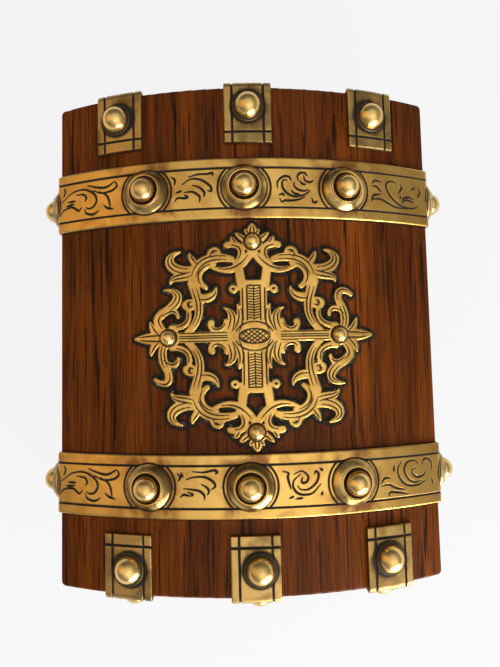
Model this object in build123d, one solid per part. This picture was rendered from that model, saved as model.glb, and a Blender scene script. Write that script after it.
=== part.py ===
"""Brass-bound casket with a barrel-domed lid.

Frame: X runs along the long side, the front faces -Y, +Z is up, and the origin is the middle of the
underside. Sizes are in millimetres.
"""
import math
import os

from build123d import *

# ---------------------------------------------------------------- woodwork
casket_length = 220.0
casket_depth = 172.0
case_height = 76.0          # underside of the baize to the line where the lid closes
lid_rim_height = 22.0       # closing line to the corner where the dome starts
dome_rise = 20.0            # that corner to the crest
wall = 10.0
top_panel = 6.0
floor_board = 7.0
floor_rebate = 5.0          # how far the floor board is let into each wall
panel_fit = 0.1
edge_round = 1.0
corner_round = 3.0          # the four upright corners of the lid and the case
baize = 0.8
baize_inset = 3.0

# ---------------------------------------------------------------- lining
card = 1.6
lining_drop = 3.0           # the case lining stops this far below the closing line
lid_lining_rise = 3.0       # the lid lining starts this far above it
base_pad_height = 9.0
lid_pad_depth = 8.0
soft_gap = 0.3

# ---------------------------------------------------------------- straps, tabs and pierced mount
strap_width = 27.0
strap_thickness = 1.5
strap_centre = 64.0         # each strap's middle from the middle of the casket
strap_end_gap = 1.5         # strap ends stay this far from the closing line and the underside
tab_width = 21.0
tab_length = 26.0           # along the dome, and again down the end
tab_thickness = 2.0
mount_thickness = 1.5
mount_forward = 3.0         # the mount was pinned on a little nearer the front
mount_left = 0.7            # and a little nearer the left end

# ---------------------------------------------------------------- studs
stud_arcs = (-44.5, 0.0, 43.4)   # studs of the dome, along the curve from the crest, front to back
stud_drop = 9.5             # rim studs, below the corner of the lid
case_stud_heights = (16.0, 56.0)
collar_radius = 9.9
collar_edge = 0.9
collar_swell = 0.5          # how far the collar's side stands out past a straight slope
ring_radius = 7.1
ring_inside = 6.2
ring_taper = 0.3
ring_height = 3.9
seat_height = 2.4
head_radius = 5.15
head_height = 9.0
tab_stud_radius = 6.0
tab_stud_flange = 6.9
tab_stud_rim = 0.7
tab_stud_height = 5.9
tab_stud_drop = 12.0        # studs on the tabs' end legs, below the dome
mount_stud_radius = 3.5
mount_stud_flange = 4.1
mount_stud_rim = 0.4
mount_stud_height = 3.6
mount_stud_x = 40.8
mount_stud_y = 36.8
shank_radius = 1.0
shank_depth = 5.0           # into the wood
shank_clearance = 0.05
mount_stud_seat = 0.4       # metal of the mount past the flange of a stud
underside_stock = 1.2       # extra metal under a stud before it is fitted to its curve

# The tabs were pinned on by eye: end, place, middle along Y, its stud's step along Y from that
# middle, and the stud's distance in from the end of the casket.
tab_table = (
    ("left", "front", -59.9, 0.9, 12.3),
    ("left", "middle", -1.4, -1.8, 12.0),
    ("left", "back", 53.1, -0.9, 11.5),
    ("right", "front", -58.2, 0.5, 11.5),
    ("right", "middle", -2.3, -0.1, 9.8),
    ("right", "back", 55.7, 0.8, 11.4),
)

# ---------------------------------------------------------------- hinges
hinge_centre = 32.0
hinge_length = 26.0
hinge_leaf = 1.4
hinge_leaf_depth = 8.0
knuckle_radius = 2.5
knuckle_gap = 0.3
middle_knuckle = 10.0
knuckle_play = 0.1          # between one knuckle and the next
hinge_pin_radius = 1.0
pin_clearance = 0.05
leaf_below = 0.1            # each leaf lies this far inside its edge
hinge_screw_pitch = 8.0
screw_line_back = 2.1       # rim of each screw head, in from the back face

# ---------------------------------------------------------------- screws
screw_head_radius = 1.9
screw_head_depth = 1.0
screw_radius = 0.9
screw_length = 7.0
screw_clearance = 0.05
screw_point = 1.0           # length of the taper at the tip
screw_slot = 0.5
screw_slot_depth = 0.4

# ---------------------------------------------------------------- lock
lock_half_width = 19.0
lock_height = 26.0
lock_depth = 7.5
lock_flange = 6.0           # plates run this far past the pocket for their screws
lock_sheet = 1.2
lock_cap_sheet = 1.0
cap_side_gap = 1.0          # between the cap and the sides of the lock's pocket
cap_low_gap = 0.5
selvage_sheet = 1.4
bolt_travel = 4.5
bolt_thickness = 1.8
bolt_bar_low = 15.0         # bolt bar, below the closing line
bolt_bar_high = 10.0
bolt_bar_left = -17.6
bolt_bar_right = 6.0
tongue_low = 6.6
tongue_high = 4.4
tongue_width = 2.5
tongue_gap = 1.0            # between an open tongue and its staple
guide_radius = 1.0
guide_clearance = 0.06
guide_places = (-7.5, 3.5)
staple_centre = 9.0
staple_sheet = 2.2
staple_width = 4.4
staple_drop = 8.4
eye_width = 2.8
eye_height = 3.2
eye_floor = 1.3
slot_clearance = 0.5
key_height = 55.0
drill_pin_radius = 1.1
keyhole_radius = 2.5
keyhole_slot = 2.4
keyhole_drop = 7.0
cap_keyhole_room = 0.2      # the cap's keyhole is this much bigger all round
pillar_radius = 1.2
pillar_inset = 3.5
talon_width = 4.0
talon_depth = 1.5
spring_thickness = 0.5
spring_length = 9.0
spring_centre = -5.0
spring_gap = 0.3
spring_rise = 1.2
spring_lug = 1.0
escutcheon_width = 15.0
escutcheon_height = 24.0
escutcheon_sheet = 1.2
escutcheon_pin_radius = 0.6
escutcheon_pin_inset = 2.6
escutcheon_pin_stop = 0.5   # wood left between the tip of each pin and the lock
pin_head_radius = 1.1
pin_head_height = 0.5

# ---------------------------------------------------------------- derived places
half_length = casket_length / 2
half_depth = casket_depth / 2
inner_length = casket_length - 2 * wall
inner_depth = casket_depth - 2 * wall
dome_radius = (half_depth**2 + dome_rise**2) / (2 * dome_rise)
crest = case_height + lid_rim_height + dome_rise
dome_axis = crest - dome_radius
floor_top = baize + floor_board
hinge_y = half_depth + knuckle_radius + knuckle_gap
lock_y = -half_depth + wall - lock_sheet - (lock_depth - lock_sheet - lock_cap_sheet) / 2
lock_inner_face = -half_depth + wall
reach = 400.0               # longer than anything it cuts


def cylinder_x(radius, length=reach):
    """A cylinder about the dome's axis."""
    return Pos(0, 0, dome_axis) * Cylinder(radius, length, rotation=(0, 90, 0))


def block(x0, x1, y0, y1, z0, z1):
    """A block between two corners."""
    return Pos((x0 + x1) / 2, (y0 + y1) / 2, (z0 + z1) / 2) * Box(x1 - x0, y1 - y0, z1 - z0)


def lathe(points):
    """Turn a closed profile of (radius, height) points about Z."""
    return revolve(Plane.XZ * make_face(Polyline(*points, close=True)), Axis.Z)


def peg(frame, radius, low, high):
    """A round peg along a frame's Z, from low to high."""
    return frame * Pos(0, 0, (low + high) / 2) * Cylinder(radius, high - low)


def lid_section(grow=0.0):
    """The lid's section across the dome, made bigger all round by grow, drawn as (Y, Z)."""
    side = half_depth + grow
    radius = dome_radius + grow
    shoulder = dome_axis + math.sqrt(radius**2 - side**2)
    outline = Line((-side, shoulder), (-side, case_height))
    outline += Line((-side, case_height), (side, case_height))
    outline += Line((side, case_height), (side, shoulder))
    outline += ThreePointArc((side, shoulder), (0, dome_axis + radius), (-side, shoulder))
    face = make_face(outline)
    return fillet(face.vertices().sort_by(Axis.Y)[-2:], edge_round + grow)


def lid_block(grow=0.0):
    """The whole outside of the lid as one solid, grown outwards on every side but the bottom."""
    solid = extrude(Plane.YZ * lid_section(grow), half_length + grow, both=True)
    ends = [e for e in solid.edges() if abs(abs(e.center().X) - half_length - grow) < 0.01]
    rims = [e for e in ends if e.center().Z > case_height + 0.01]
    plan = RectangleRounded(casket_length + 2 * grow, casket_depth + 2 * grow, corner_round + grow)
    return fillet(rims, edge_round + grow) & extrude(plan, reach)


def mitre_wedge(side):
    """The space of one wall between its two mitres."""
    past = 5.0
    inside = wall + past
    x_out, y_out = half_length + past, half_depth + past
    x_in, y_in = half_length - inside, half_depth - inside
    corners = {
        "front": [(-x_out, -y_out), (x_out, -y_out), (x_in, -y_in), (-x_in, -y_in)],
        "back": [(-x_out, y_out), (x_out, y_out), (x_in, y_in), (-x_in, y_in)],
        "left": [(-x_out, -y_out), (-x_out, y_out), (-x_in, y_in), (-x_in, -y_in)],
        "right": [(x_out, -y_out), (x_out, y_out), (x_in, y_in), (x_in, -y_in)],
    }[side]
    return extrude(make_face(Polyline(*corners, close=True)), reach / 2, both=True)


# ---------------------------------------------------------------- where the studs sit
def dome_frame(x, arc, lift):
    """A frame standing on the dome, arc millimetres round from the crest, lift above the wood."""
    turn = arc / dome_radius
    radius = dome_radius + lift
    place = (x, radius * math.sin(turn), dome_axis + radius * math.cos(turn))
    return Plane(place, x_dir=(1, 0, 0), z_dir=(0, math.sin(turn), math.cos(turn)))


def face_frame(x, side, z, lift):
    """A frame on the front (side -1) or the back (side 1)."""
    return Plane((x, side * (half_depth + lift), z), x_dir=(1, 0, 0), z_dir=(0, side, 0))


def end_frame(side, y, z, lift):
    """A frame on the left (side -1) or the right (side 1) end."""
    return Plane((side * (half_length + lift), y, z), x_dir=(0, 1, 0), z_dir=(side, 0, 0))


def dome_height(y):
    """Height of the wood's surface over a place y from the middle."""
    return dome_axis + math.sqrt(dome_radius**2 - y**2)


def lid_stud_frames(lift):
    """Strap studs of the lid: three over the dome and one on each rim, on both straps."""
    frames = []
    for x in (-strap_centre, strap_centre):
        frames += [dome_frame(x, arc, lift) for arc in stud_arcs]
        height = case_height + lid_rim_height - stud_drop
        frames += [face_frame(x, side, height, lift) for side in (-1, 1)]
    return frames


def case_stud_frames(lift):
    """Strap studs of the case, front and back."""
    return [
        face_frame(x, side, height, lift)
        for x in (-strap_centre, strap_centre)
        for side in (-1, 1)
        for height in case_stud_heights
    ]


def arc_at(y):
    """How far round the dome a place y from the middle lies."""
    return dome_radius * math.asin(y / dome_radius)


def end_side(end):
    """The sign of X at the left or the right end."""
    return -1 if end == "left" else 1


def one_tab_studs(row, lift):
    """A tab's two studs: one on the dome and one on the end."""
    end, _, middle, step, inset = row
    side, y = end_side(end), middle + step
    return [dome_frame(side * (half_length - inset), arc_at(y), lift),
            end_frame(side, y, dome_height(y) - tab_stud_drop, lift)]


def tab_stud_frames(lift):
    """The studs of all six tabs."""
    return [frame for row in tab_table for frame in one_tab_studs(row, lift)]


def mount_stud_frames(lift):
    """Four small studs pin the pierced mount."""
    along = [dome_frame(x - mount_left, arc_at(-mount_forward), lift) for x in (-mount_stud_x, mount_stud_x)]
    across = [dome_frame(-mount_left, arc_at(y - mount_forward), lift) for y in (-mount_stud_y, mount_stud_y)]
    return along + across


def shank_holes(frames):
    """Holes for the shanks of studs whose frames lie on the wood."""
    radius = shank_radius + shank_clearance
    return [peg(frame, radius, -shank_depth - shank_clearance, 5.0) for frame in frames]


def domed_stud(radius, flange, rim, height):
    """A domed head on a thin flange, with spare metal underneath."""
    cap = height - rim
    sphere = (radius**2 + cap**2) / (2 * cap)
    half = math.asin(min(1.0, radius / sphere)) / 2
    shoulder = (sphere * math.sin(half), height - sphere + sphere * math.cos(half))
    outline = Polyline((0, height), (0, -underside_stock), (flange, -underside_stock), (flange, rim),
                       (radius, rim))
    outline += ThreePointArc((radius, rim), shoulder, (0, height))
    return revolve(Plane.XZ * make_face(outline), Axis.Z)


def strap_collar():
    """The turned cup under each strap stud: a swelling side, a raised ring and a flat seat."""
    bore = shank_radius + shank_clearance
    swell = ((collar_radius + ring_radius) / 2 + collar_swell, (collar_edge + ring_height) / 2 + collar_swell)
    outline = Polyline((ring_radius, ring_height), (ring_inside, ring_height),
                       (ring_inside - ring_taper, seat_height), (bore, seat_height), (bore, -underside_stock),
                       (collar_radius, -underside_stock), (collar_radius, collar_edge))
    outline += ThreePointArc((collar_radius, collar_edge), swell, (ring_radius, ring_height))
    return revolve(Plane.XZ * make_face(outline), Axis.Z)


def strap_head():
    """The ball head of the pin that holds a collar and its strap to the wood."""
    straight = head_height - head_radius
    lean = head_radius * math.sin(math.radians(45))
    outline = Polyline((0, head_height), (0, seat_height), (head_radius, seat_height),
                       (head_radius, straight))
    outline += ThreePointArc((head_radius, straight), (lean, straight + lean), (0, head_height))
    return revolve(Plane.XZ * make_face(outline), Axis.Z)


def collars(frames, curve):
    """A collar on each frame, its underside cut to the strap."""
    return [frame * strap_collar() - curve for frame in frames]


def heads(frames):
    """A ball head with its shank on each frame."""
    low = -strap_thickness - shank_depth
    return [frame * strap_head() + peg(frame, shank_radius, low, seat_height + 1.0) for frame in frames]


def domes(frames, sizes, metal, curve):
    """A plain domed stud with its shank on each frame, its underside cut to the metal."""
    solid = domed_stud(*sizes)
    low = -metal - shank_depth
    return [frame * solid - curve + peg(frame, shank_radius, low, sizes[2]) for frame in frames]


# ---------------------------------------------------------------- pierced mount
def bezier(points, t):
    """A point on a cubic curve."""
    a, b, c, d = points
    s = 1 - t
    weights = (s**3, 3 * s * s * t, 3 * s * t * t, t**3)
    x = sum(w * p[0] for w, p in zip(weights, (a, b, c, d)))
    y = sum(w * p[1] for w, p in zip(weights, (a, b, c, d)))
    return x, y


def leaf(points, radii, steps=9):
    """A flat leaf along a cubic curve; radii are its half-widths at the start, middle and tip."""
    start, middle, tip = radii
    left, right = [], []
    for i in range(steps + 1):
        t = i / steps
        x, y = bezier(points, t)
        x0, y0 = bezier(points, max(0.0, t - 0.02))
        x1, y1 = bezier(points, min(1.0, t + 0.02))
        length = math.hypot(x1 - x0, y1 - y0)
        nx, ny = (y0 - y1) / length, (x1 - x0) / length
        r = start * (1 - t) ** 2 + (4 * middle - start - tip) * t * (1 - t) + tip * t**2
        left.append((x + nx * r, y + ny * r))
        right.append((x - nx * r, y - ny * r))
    return make_face(Polyline(*(left + right[::-1]), close=True))


# Leaves and scrolls of one quarter: (out towards a side stud, up towards an end stud) of each
# curve's four points, then the half-widths at its start, middle and tip.
quarter_leaves = (
    (((2, 0), (12, 0), (24, 0), (36, 0)), (2.4, 2.4, 2.4)),                        # arm to the side stud
    (((0, 0), (3, 0), (6, 0), (9.5, 0)), (6.3, 5.4, 2.4)),                         # eye
    (((4.6, 21), (5.4, 24), (5.8, 27), (6.0, 30)), (2.2, 2.1, 1.9)),               # leg of the bar
    (((0.5, 36.5), (4, 31), (9, 26.2), (18.2, 30.2)), (1.7, 1.8, 0.8)),            # band below the end stud
    (((11.2, 39.6), (4.6, 41.2), (2.6, 35.6), (7.6, 31.4)), (1.5, 1.7, 1.3)),      # crescent
    (((7.6, 40), (8, 41.2), (8.6, 42), (9.2, 42.8)), (1.2, 1.3, 0.6)),
    (((2.5, 41), (4.2, 42.2), (5.6, 43.4), (6.9, 44.6)), (1.0, 1.4, 0.6)),         # small leaf at the stud
    (((0, 41), (0, 44), (0, 46.6), (0, 48.6)), (2.4, 2.5, 0.5)),                   # end leaf
    (((1.2, 44), (2, 44.6), (2.6, 45.2), (2.9, 46.2)), (1.0, 1.0, 0.5)),
    (((9.2, 33.4), (16.5, 35.4), (26.3, 34), (25.8, 22.5)), (1.6, 2.4, 2.4)),      # frame scroll
    (((26, 23.5), (24.4, 16.5), (20.3, 9.5), (28.6, 2.2)), (2.5, 2.0, 1.6)),
    (((18.8, 34.4), (18.6, 37.6), (15.6, 38.9), (14.6, 36.2)), (1.3, 1.5, 1.1)),   # its hook
    (((16.5, 31.4), (23, 31.2), (26, 25), (20.6, 21.4)), (0.9, 1.5, 1.2)),         # its inner curl
    (((24.5, 17.2), (20.5, 15.8), (16.2, 17.2), (16.0, 21.4)), (2.0, 1.9, 0.4)),   # leaf pointing inwards
    (((26.3, 14.4), (27.3, 14.1), (28.0, 14.0), (28.8, 13.9)), (2.2, 2.7, 2.3)),   # boss
    (((28.4, 12.6), (26.6, 7), (30, 4), (35.6, 4.2)), (1.2, 1.3, 1.5)),            # curl into the side stud
    (((25, 29.2), (35.5, 27), (40.5, 35.5), (31.6, 37.4)), (2.2, 2.3, 0.6)),       # corner leaf
    (((24.6, 31.2), (25.5, 33), (27, 34.2), (27.3, 36.4)), (1.5, 1.5, 0.6)),
    (((25.5, 28.2), (30, 25.6), (35, 27.4), (36, 23.6)), (2.1, 2.0, 0.5)),
    (((40.4, 8.6), (37.6, 12.6), (33, 13), (32.8, 8.8)), (1.1, 1.3, 0.8)),         # hook of the outer leaf
    (((37, 0), (42, 0), (47, 0), (51.9, 0)), (2.4, 2.7, 0.6)),                     # side leaf
    (((40.6, 0.8), (43.4, 2.2), (44.4, 4.4), (45, 7.2)), (1.6, 1.6, 0.5)),
    (((8.6, 1), (6.2, 4.6), (4.6, 8.6), (6.8, 13.6)), (2.8, 2.3, 0.6)),            # inner leaf
    (((11, 1.6), (9.2, 5.4), (7.8, 10.4), (12.6, 12.2)), (2.4, 2.1, 0.5)),
    (((12.2, 6.8), (11.8, 2.2), (19.6, 1.2), (18.4, 6.0)), (1.0, 1.2, 1.6)),       # its volute
)
# The outer serpentine leaves differ between one pair of opposite quarters and the other.
open_leaves = (
    (((38.8, 2.8), (43, 6.5), (43, 9.5), (37.7, 12)), (1.6, 1.9, 1.9)),
    (((38, 11.9), (32.5, 14.5), (29.5, 20.5), (38.6, 21)), (1.9, 2.1, 0.5)),
)
closed_leaves = (
    (((38.6, 2.6), (41, 6.5), (39.5, 10.5), (37.8, 14)), (1.8, 2.0, 1.7)),
    (((37.8, 13.8), (35.6, 18.6), (38.6, 21.6), (43, 17.8)), (1.7, 1.7, 1.0)),
)
bar_edge = ((5.2, 4), (6.3, 17), (6.3, 24.4))                                      # outer edge of the bar
ear_centre = (8.7, 20.4)
ear_radius = 2.0
ear_neck = 0.9                                                                     # half its width


def mount_quarter(leaves):
    """One quarter of the mount's flat pattern: X is out towards a side stud, Y is up."""
    quarter = Sketch()
    for points, radii in leaves:
        quarter += leaf(points, radii)
    quarter += Pos(*ear_centre) * Circle(ear_radius)
    quarter += Pos(ear_centre[0] - ear_radius, ear_centre[1]) * Rectangle(2 * ear_radius, 2 * ear_neck)
    quarter += make_face(Polyline((0, bar_edge[0][1]), *bar_edge, (0, bar_edge[-1][1]), close=True))
    for x, y in ((mount_stud_y, 0), (0, mount_stud_x)):
        quarter += Pos(x, y) * Circle(mount_stud_flange + mount_stud_seat)
    return quarter


def mount_outline():
    """The whole flat pattern: two kinds of quarter side by side, and both again turned half round."""
    half = mount_quarter(quarter_leaves + closed_leaves)
    half += mirror(mount_quarter(quarter_leaves + open_leaves), Plane.YZ)
    return half + Rot(0, 0, 180) * half


def pierced_mount(skin):
    """The flat pattern stood on end over the dome and cut out of a skin of sheet brass."""
    place = Pos(-mount_left, -mount_forward, 0) * Rot(0, 0, -90)
    pattern = extrude(place * mount_outline(), reach / 2, both=True)
    return skin & pattern


# ---------------------------------------------------------------- screws
def screw():
    """A countersunk screw, its head's top at Z 0, with a plain slot."""
    body = lathe([(0, 0), (screw_head_radius, 0), (screw_radius, -screw_head_depth),
                  (screw_radius, -screw_length + screw_point), (0, -screw_length)])
    return body - Box(2 * screw_head_radius, screw_slot, 2 * screw_slot_depth)


def screw_hole():
    """The hole that a screw needs, running on above its head."""
    r = screw_clearance
    return lathe([(0, 2.0), (screw_head_radius + r, 2.0), (screw_head_radius + r, -r / 2),
                  (screw_radius + r, -screw_head_depth - r / 2), (screw_radius + r, -screw_length - r),
                  (0, -screw_length - r)])


def hinge_screw_frames(up):
    """Screw places of both hinges, on the case's leaves (up 1) or the lid's (up -1)."""
    z = case_height - up * leaf_below
    y = half_depth - screw_head_radius - screw_line_back
    return [
        Plane((x + step * hinge_screw_pitch, y, z), x_dir=(1, 0, 0), z_dir=(0, 0, up))
        for x in (-hinge_centre, hinge_centre)
        for step in (-1, 0, 1)
    ]


# ---------------------------------------------------------------- hinges
def leaf_pocket(x, up):
    """The recess for a hinge leaf in the case's edge (up 1) or the lid's (up -1)."""
    deep = leaf_below + hinge_leaf
    z0, z1 = sorted((case_height - up * deep, case_height + up * 1.0))
    half = hinge_length / 2
    return block(x - half, x + half, half_depth - hinge_leaf_depth, half_depth + 1.0, z0, z1)


def hinge_leaf_solid(x, up):
    """One leaf with its knuckles: the case's has the outer two, the lid's has the middle one."""
    half = hinge_length / 2
    inner = middle_knuckle / 2
    z0, z1 = sorted((case_height - up * leaf_below, case_height - up * (leaf_below + hinge_leaf)))
    plate = block(x - half, x + half, half_depth - hinge_leaf_depth, hinge_y, z0, z1)
    if up > 0:
        spans = ((-half, -inner - knuckle_play), (inner + knuckle_play, half))
        others = ((-inner - knuckle_play, inner + knuckle_play),)
    else:
        spans = ((-inner, inner),)
        others = ((-half, -inner), (inner, half))
    for low, high in spans:
        plate += hinge_round(x + (low + high) / 2, high - low, knuckle_radius)
    for low, high in others:
        plate -= hinge_round(x + (low + high) / 2, high - low, knuckle_radius + knuckle_gap)
    plate -= hinge_round(x, hinge_length + 2, hinge_pin_radius + pin_clearance)
    for frame in hinge_screw_frames(up):
        plate -= frame * screw_hole()
    return plate


def hinge_round(x, length, radius):
    """A cylinder along a hinge's pin line."""
    return Pos(x, hinge_y, case_height) * Cylinder(radius, length, rotation=(0, 90, 0))


def hinge_pin(x):
    """The pin through one hinge."""
    return hinge_round(x, hinge_length, hinge_pin_radius)


def hinge_screws(up):
    """Screws of both hinges in the case (up 1) or the lid (up -1)."""
    return [frame * screw() for frame in hinge_screw_frames(up)]


# ---------------------------------------------------------------- lock
lock_top = case_height - leaf_below
lock_low = case_height - lock_height
plate_half = lock_half_width + lock_flange
screw_x = lock_half_width + lock_flange / 2
cap_inner_face = lock_inner_face - lock_depth + lock_cap_sheet
lock_outer_face = lock_inner_face - lock_depth
escutcheon_pin_tip = lock_outer_face - escutcheon_pin_stop


def along_y(x, z, radius, y0, y1):
    """A round post along Y."""
    return Pos(x, (y0 + y1) / 2, z) * Cylinder(radius, y1 - y0, rotation=(90, 0, 0))


def selvage_screw_frames():
    """Screws down through the selvage into the front wall."""
    y = (lock_inner_face + lock_outer_face) / 2
    return [Plane((x, y, lock_top), x_dir=(1, 0, 0), z_dir=(0, 0, 1)) for x in (-screw_x, screw_x)]


def back_plate_screw_frames():
    """Screws from inside the case, through the flanges of the back plate."""
    z = lock_low + lock_flange / 2
    return [Plane((x, lock_inner_face, z), x_dir=(1, 0, 0), z_dir=(0, 1, 0)) for x in (-screw_x, screw_x)]


def link_screw_frames():
    """Screws up through the link plate into the lid's front rail."""
    y = (lock_inner_face + lock_outer_face) / 2
    z = case_height + leaf_below
    return [Plane((x, y, z), x_dir=(1, 0, 0), z_dir=(0, 0, -1)) for x in (-screw_x, screw_x)]


def keyhole(y0, y1, grow=0.0):
    """The keyhole's round and its slot."""
    hole = along_y(0, key_height, keyhole_radius + grow, y0, y1)
    half = keyhole_slot / 2 + grow
    return hole + block(-half, half, y0, y1, key_height - keyhole_drop - grow, key_height)


def lock_pocket():
    """What is cut from the front wall for the lock."""
    room = block(-lock_half_width, lock_half_width, lock_outer_face, lock_inner_face + 1,
                 lock_low, case_height + 1)
    selvage = block(-plate_half, plate_half, lock_outer_face, lock_inner_face + 1,
                    lock_top - selvage_sheet, case_height + 1)
    back = block(-plate_half, plate_half, lock_inner_face - lock_sheet, lock_inner_face + 1,
                 lock_low, case_height + 1)
    cut = room + selvage + back + keyhole(-half_depth - 1, lock_outer_face + 1)
    for frame in selvage_screw_frames() + back_plate_screw_frames():
        cut += frame * screw_hole()
    return cut


def lock_plate():
    """Selvage and back plate bent from one sheet, with the bolt's two guide posts and the drill pin."""
    plate = block(-plate_half, plate_half, lock_inner_face - lock_sheet, lock_inner_face, lock_low, lock_top)
    plate += block(-plate_half, plate_half, lock_outer_face, lock_inner_face,
                   lock_top - selvage_sheet, lock_top)
    for side in (-1, 1):
        x, half = side * staple_centre, staple_sheet / 2 + slot_clearance
        deep = staple_width / 2 + slot_clearance
        plate -= block(x - half, x + half, lock_y - deep, lock_y + deep,
                       lock_top - 2 * selvage_sheet, lock_top + 1)
    bar_middle = case_height - (bolt_bar_low + bolt_bar_high) / 2
    for x in guide_places:
        plate += along_y(x, bar_middle, guide_radius, cap_inner_face, lock_inner_face - lock_sheet / 2)
    plate += along_y(0, key_height, drill_pin_radius, -half_depth + 1.0, lock_inner_face - lock_sheet / 2)
    for frame in selvage_screw_frames() + back_plate_screw_frames():
        plate -= frame * screw_hole()
    return plate


def lock_cap():
    """The plate that closes the lock on its hidden side, on three pillars."""
    half = lock_half_width - cap_side_gap
    top = lock_top - selvage_sheet
    cap = block(-half, half, lock_outer_face, cap_inner_face, lock_low + cap_low_gap, top)
    low = lock_low + pillar_inset
    high = top - pillar_inset
    edge = lock_half_width - pillar_inset
    for x, z in ((-edge, low), (edge, low), (edge, high)):
        cap += along_y(x, z, pillar_radius, cap_inner_face - lock_cap_sheet / 2, lock_inner_face - lock_sheet)
    return cap - keyhole(lock_outer_face - 1, cap_inner_face + 1, grow=cap_keyhole_room)


def lock_bolt():
    """The sliding bolt: a bar with two hooks whose tongues pass through the staples."""
    y0, y1 = lock_y - bolt_thickness / 2, lock_y + bolt_thickness / 2
    low, high = case_height - bolt_bar_low, case_height - bolt_bar_high
    bolt = block(bolt_bar_left, bolt_bar_right, y0, y1, low, high)
    for side in (-1, 1):
        tip = side * staple_centre - staple_sheet / 2 - tongue_gap
        post = tip - bolt_travel + slot_clearance
        top = case_height - tongue_high
        bolt += block(post - tongue_width, post, y0, y1, high - 0.5, top)
        bolt += block(post - tongue_width, tip, y0, y1, case_height - tongue_low, top)
    slot = guide_radius + guide_clearance
    for x in guide_places:
        bolt -= block(x - bolt_travel, x, y0 - 1, y1 + 1, (low + high) / 2 - slot, (low + high) / 2 + slot)
        for end in (x - bolt_travel, x):
            bolt -= along_y(end, (low + high) / 2, slot, y0 - 1, y1 + 1)
    return bolt - block(-talon_width / 2 - bolt_travel / 2, talon_width / 2 - bolt_travel / 2,
                        y0 - 1, y1 + 1, low - 1, low + talon_depth)


def lock_spring():
    """A flat bow spring that bears on the bolt, on a lug let into the cap."""
    low = case_height - bolt_bar_high + spring_gap
    left, right = spring_centre - spring_length / 2, spring_centre + spring_length / 2
    top, crown = low + spring_thickness, low + spring_rise
    outline = ThreePointArc((left, low), (spring_centre, crown), (right, low))
    outline += Line((right, low), (right, top))
    outline += ThreePointArc((right, top), (spring_centre, crown + spring_thickness), (left, top))
    outline += Line((left, top), (left, low))
    half = bolt_thickness / 2
    strip = Pos(0, lock_y, 0) * extrude(Plane.XZ * make_face(outline), half, both=True)
    lug_low = crown + spring_thickness / 5
    lug = block(spring_centre - spring_lug / 2, spring_centre + spring_lug / 2, cap_inner_face, lock_y,
                lug_low, crown + spring_thickness + spring_lug)
    return strip + lug


def link_plate():
    """The plate in the lid's front rail, with the two staples that the bolt locks."""
    low = case_height + leaf_below
    plate = block(-plate_half, plate_half, lock_outer_face, lock_inner_face, low, low + selvage_sheet)
    bottom = case_height - staple_drop
    for side in (-1, 1):
        x, half = side * staple_centre, staple_sheet / 2
        deep = staple_width / 2
        plate += block(x - half, x + half, lock_y - deep, lock_y + deep, bottom, low + 0.5)
        eye = bottom + eye_floor
        plate -= block(x - half - 1, x + half + 1, lock_y - eye_width / 2, lock_y + eye_width / 2,
                       eye, eye + eye_height)
    for frame in link_screw_frames():
        plate -= frame * screw_hole()
    return plate


def link_pocket():
    """What is cut from the lid's front rail for the link plate."""
    cut = block(-plate_half, plate_half, lock_outer_face, lock_inner_face + 1, case_height - 1,
                case_height + leaf_below + selvage_sheet)
    for frame in link_screw_frames():
        cut += frame * screw_hole()
    return cut


def escutcheon_pin_places():
    """Heights of the escutcheon's two pins."""
    middle = key_height - keyhole_drop / 2
    reach_z = escutcheon_height / 2 - escutcheon_pin_inset
    return (middle - reach_z, middle + reach_z)


def escutcheon():
    """The oval plate round the keyhole."""
    middle = key_height - keyhole_drop / 2
    face = Ellipse(escutcheon_width / 2, escutcheon_height / 2)
    front = -half_depth - escutcheon_sheet
    plate = Pos(0, -half_depth, middle) * extrude(Plane.XZ * face, escutcheon_sheet)
    plate -= keyhole(front - 1, -half_depth + 1)
    for z in escutcheon_pin_places():
        plate -= along_y(0, z, escutcheon_pin_radius + shank_clearance, front - 1, -half_depth + 1)
    return plate


def escutcheon_pins():
    """Two round-headed pins."""
    front = -half_depth - escutcheon_sheet
    pins = []
    for z in escutcheon_pin_places():
        shank = along_y(0, z, escutcheon_pin_radius, front, escutcheon_pin_tip)
        pins.append(shank + along_y(0, z, pin_head_radius, front - pin_head_height, front))
    return pins


def escutcheon_pin_holes():
    """Holes for those pins in the front wall."""
    radius = escutcheon_pin_radius + shank_clearance
    deep = escutcheon_pin_tip + shank_clearance
    return [along_y(0, z, radius, -half_depth - 1, deep) for z in escutcheon_pin_places()]


# ---------------------------------------------------------------- woodwork of the case
def case_shell():
    """The four walls before they are parted at the mitres."""
    solid = block(-half_length, half_length, -half_depth, half_depth, baize, case_height)
    solid = fillet(solid.edges().filter_by(Axis.Z), corner_round)
    solid -= block(-inner_length / 2, inner_length / 2, -inner_depth / 2, inner_depth / 2, 0, case_height + 1)
    pocket_x = inner_length / 2 + floor_rebate
    pocket_y = inner_depth / 2 + floor_rebate
    return solid - block(-pocket_x, pocket_x, -pocket_y, pocket_y, 0, floor_top)


def drilled(solid, cuts):
    """A solid with each cut taken out of it."""
    for cut in cuts:
        solid -= cut
    return solid


def case_walls():
    """Front, back, left and right walls, mitred."""
    shell = case_shell()
    cuts = {"front": [lock_pocket()] + escutcheon_pin_holes(), "back": [], "left": [], "right": []}
    for frame in case_stud_frames(0.0):
        side = "front" if frame.origin.Y < 0 else "back"
        cuts[side] += shank_holes([frame])
    for x in (-hinge_centre, hinge_centre):
        cuts["back"].append(leaf_pocket(x, 1))
    cuts["back"] += [frame * screw_hole() for frame in hinge_screw_frames(1)]
    return {side: drilled(shell & mitre_wedge(side), cuts[side]) for side in cuts}


def floor():
    """The floor board in its rebate."""
    x = inner_length / 2 + floor_rebate - panel_fit
    y = inner_depth / 2 + floor_rebate - panel_fit
    return block(-x, x, -y, y, baize, floor_top)


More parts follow.
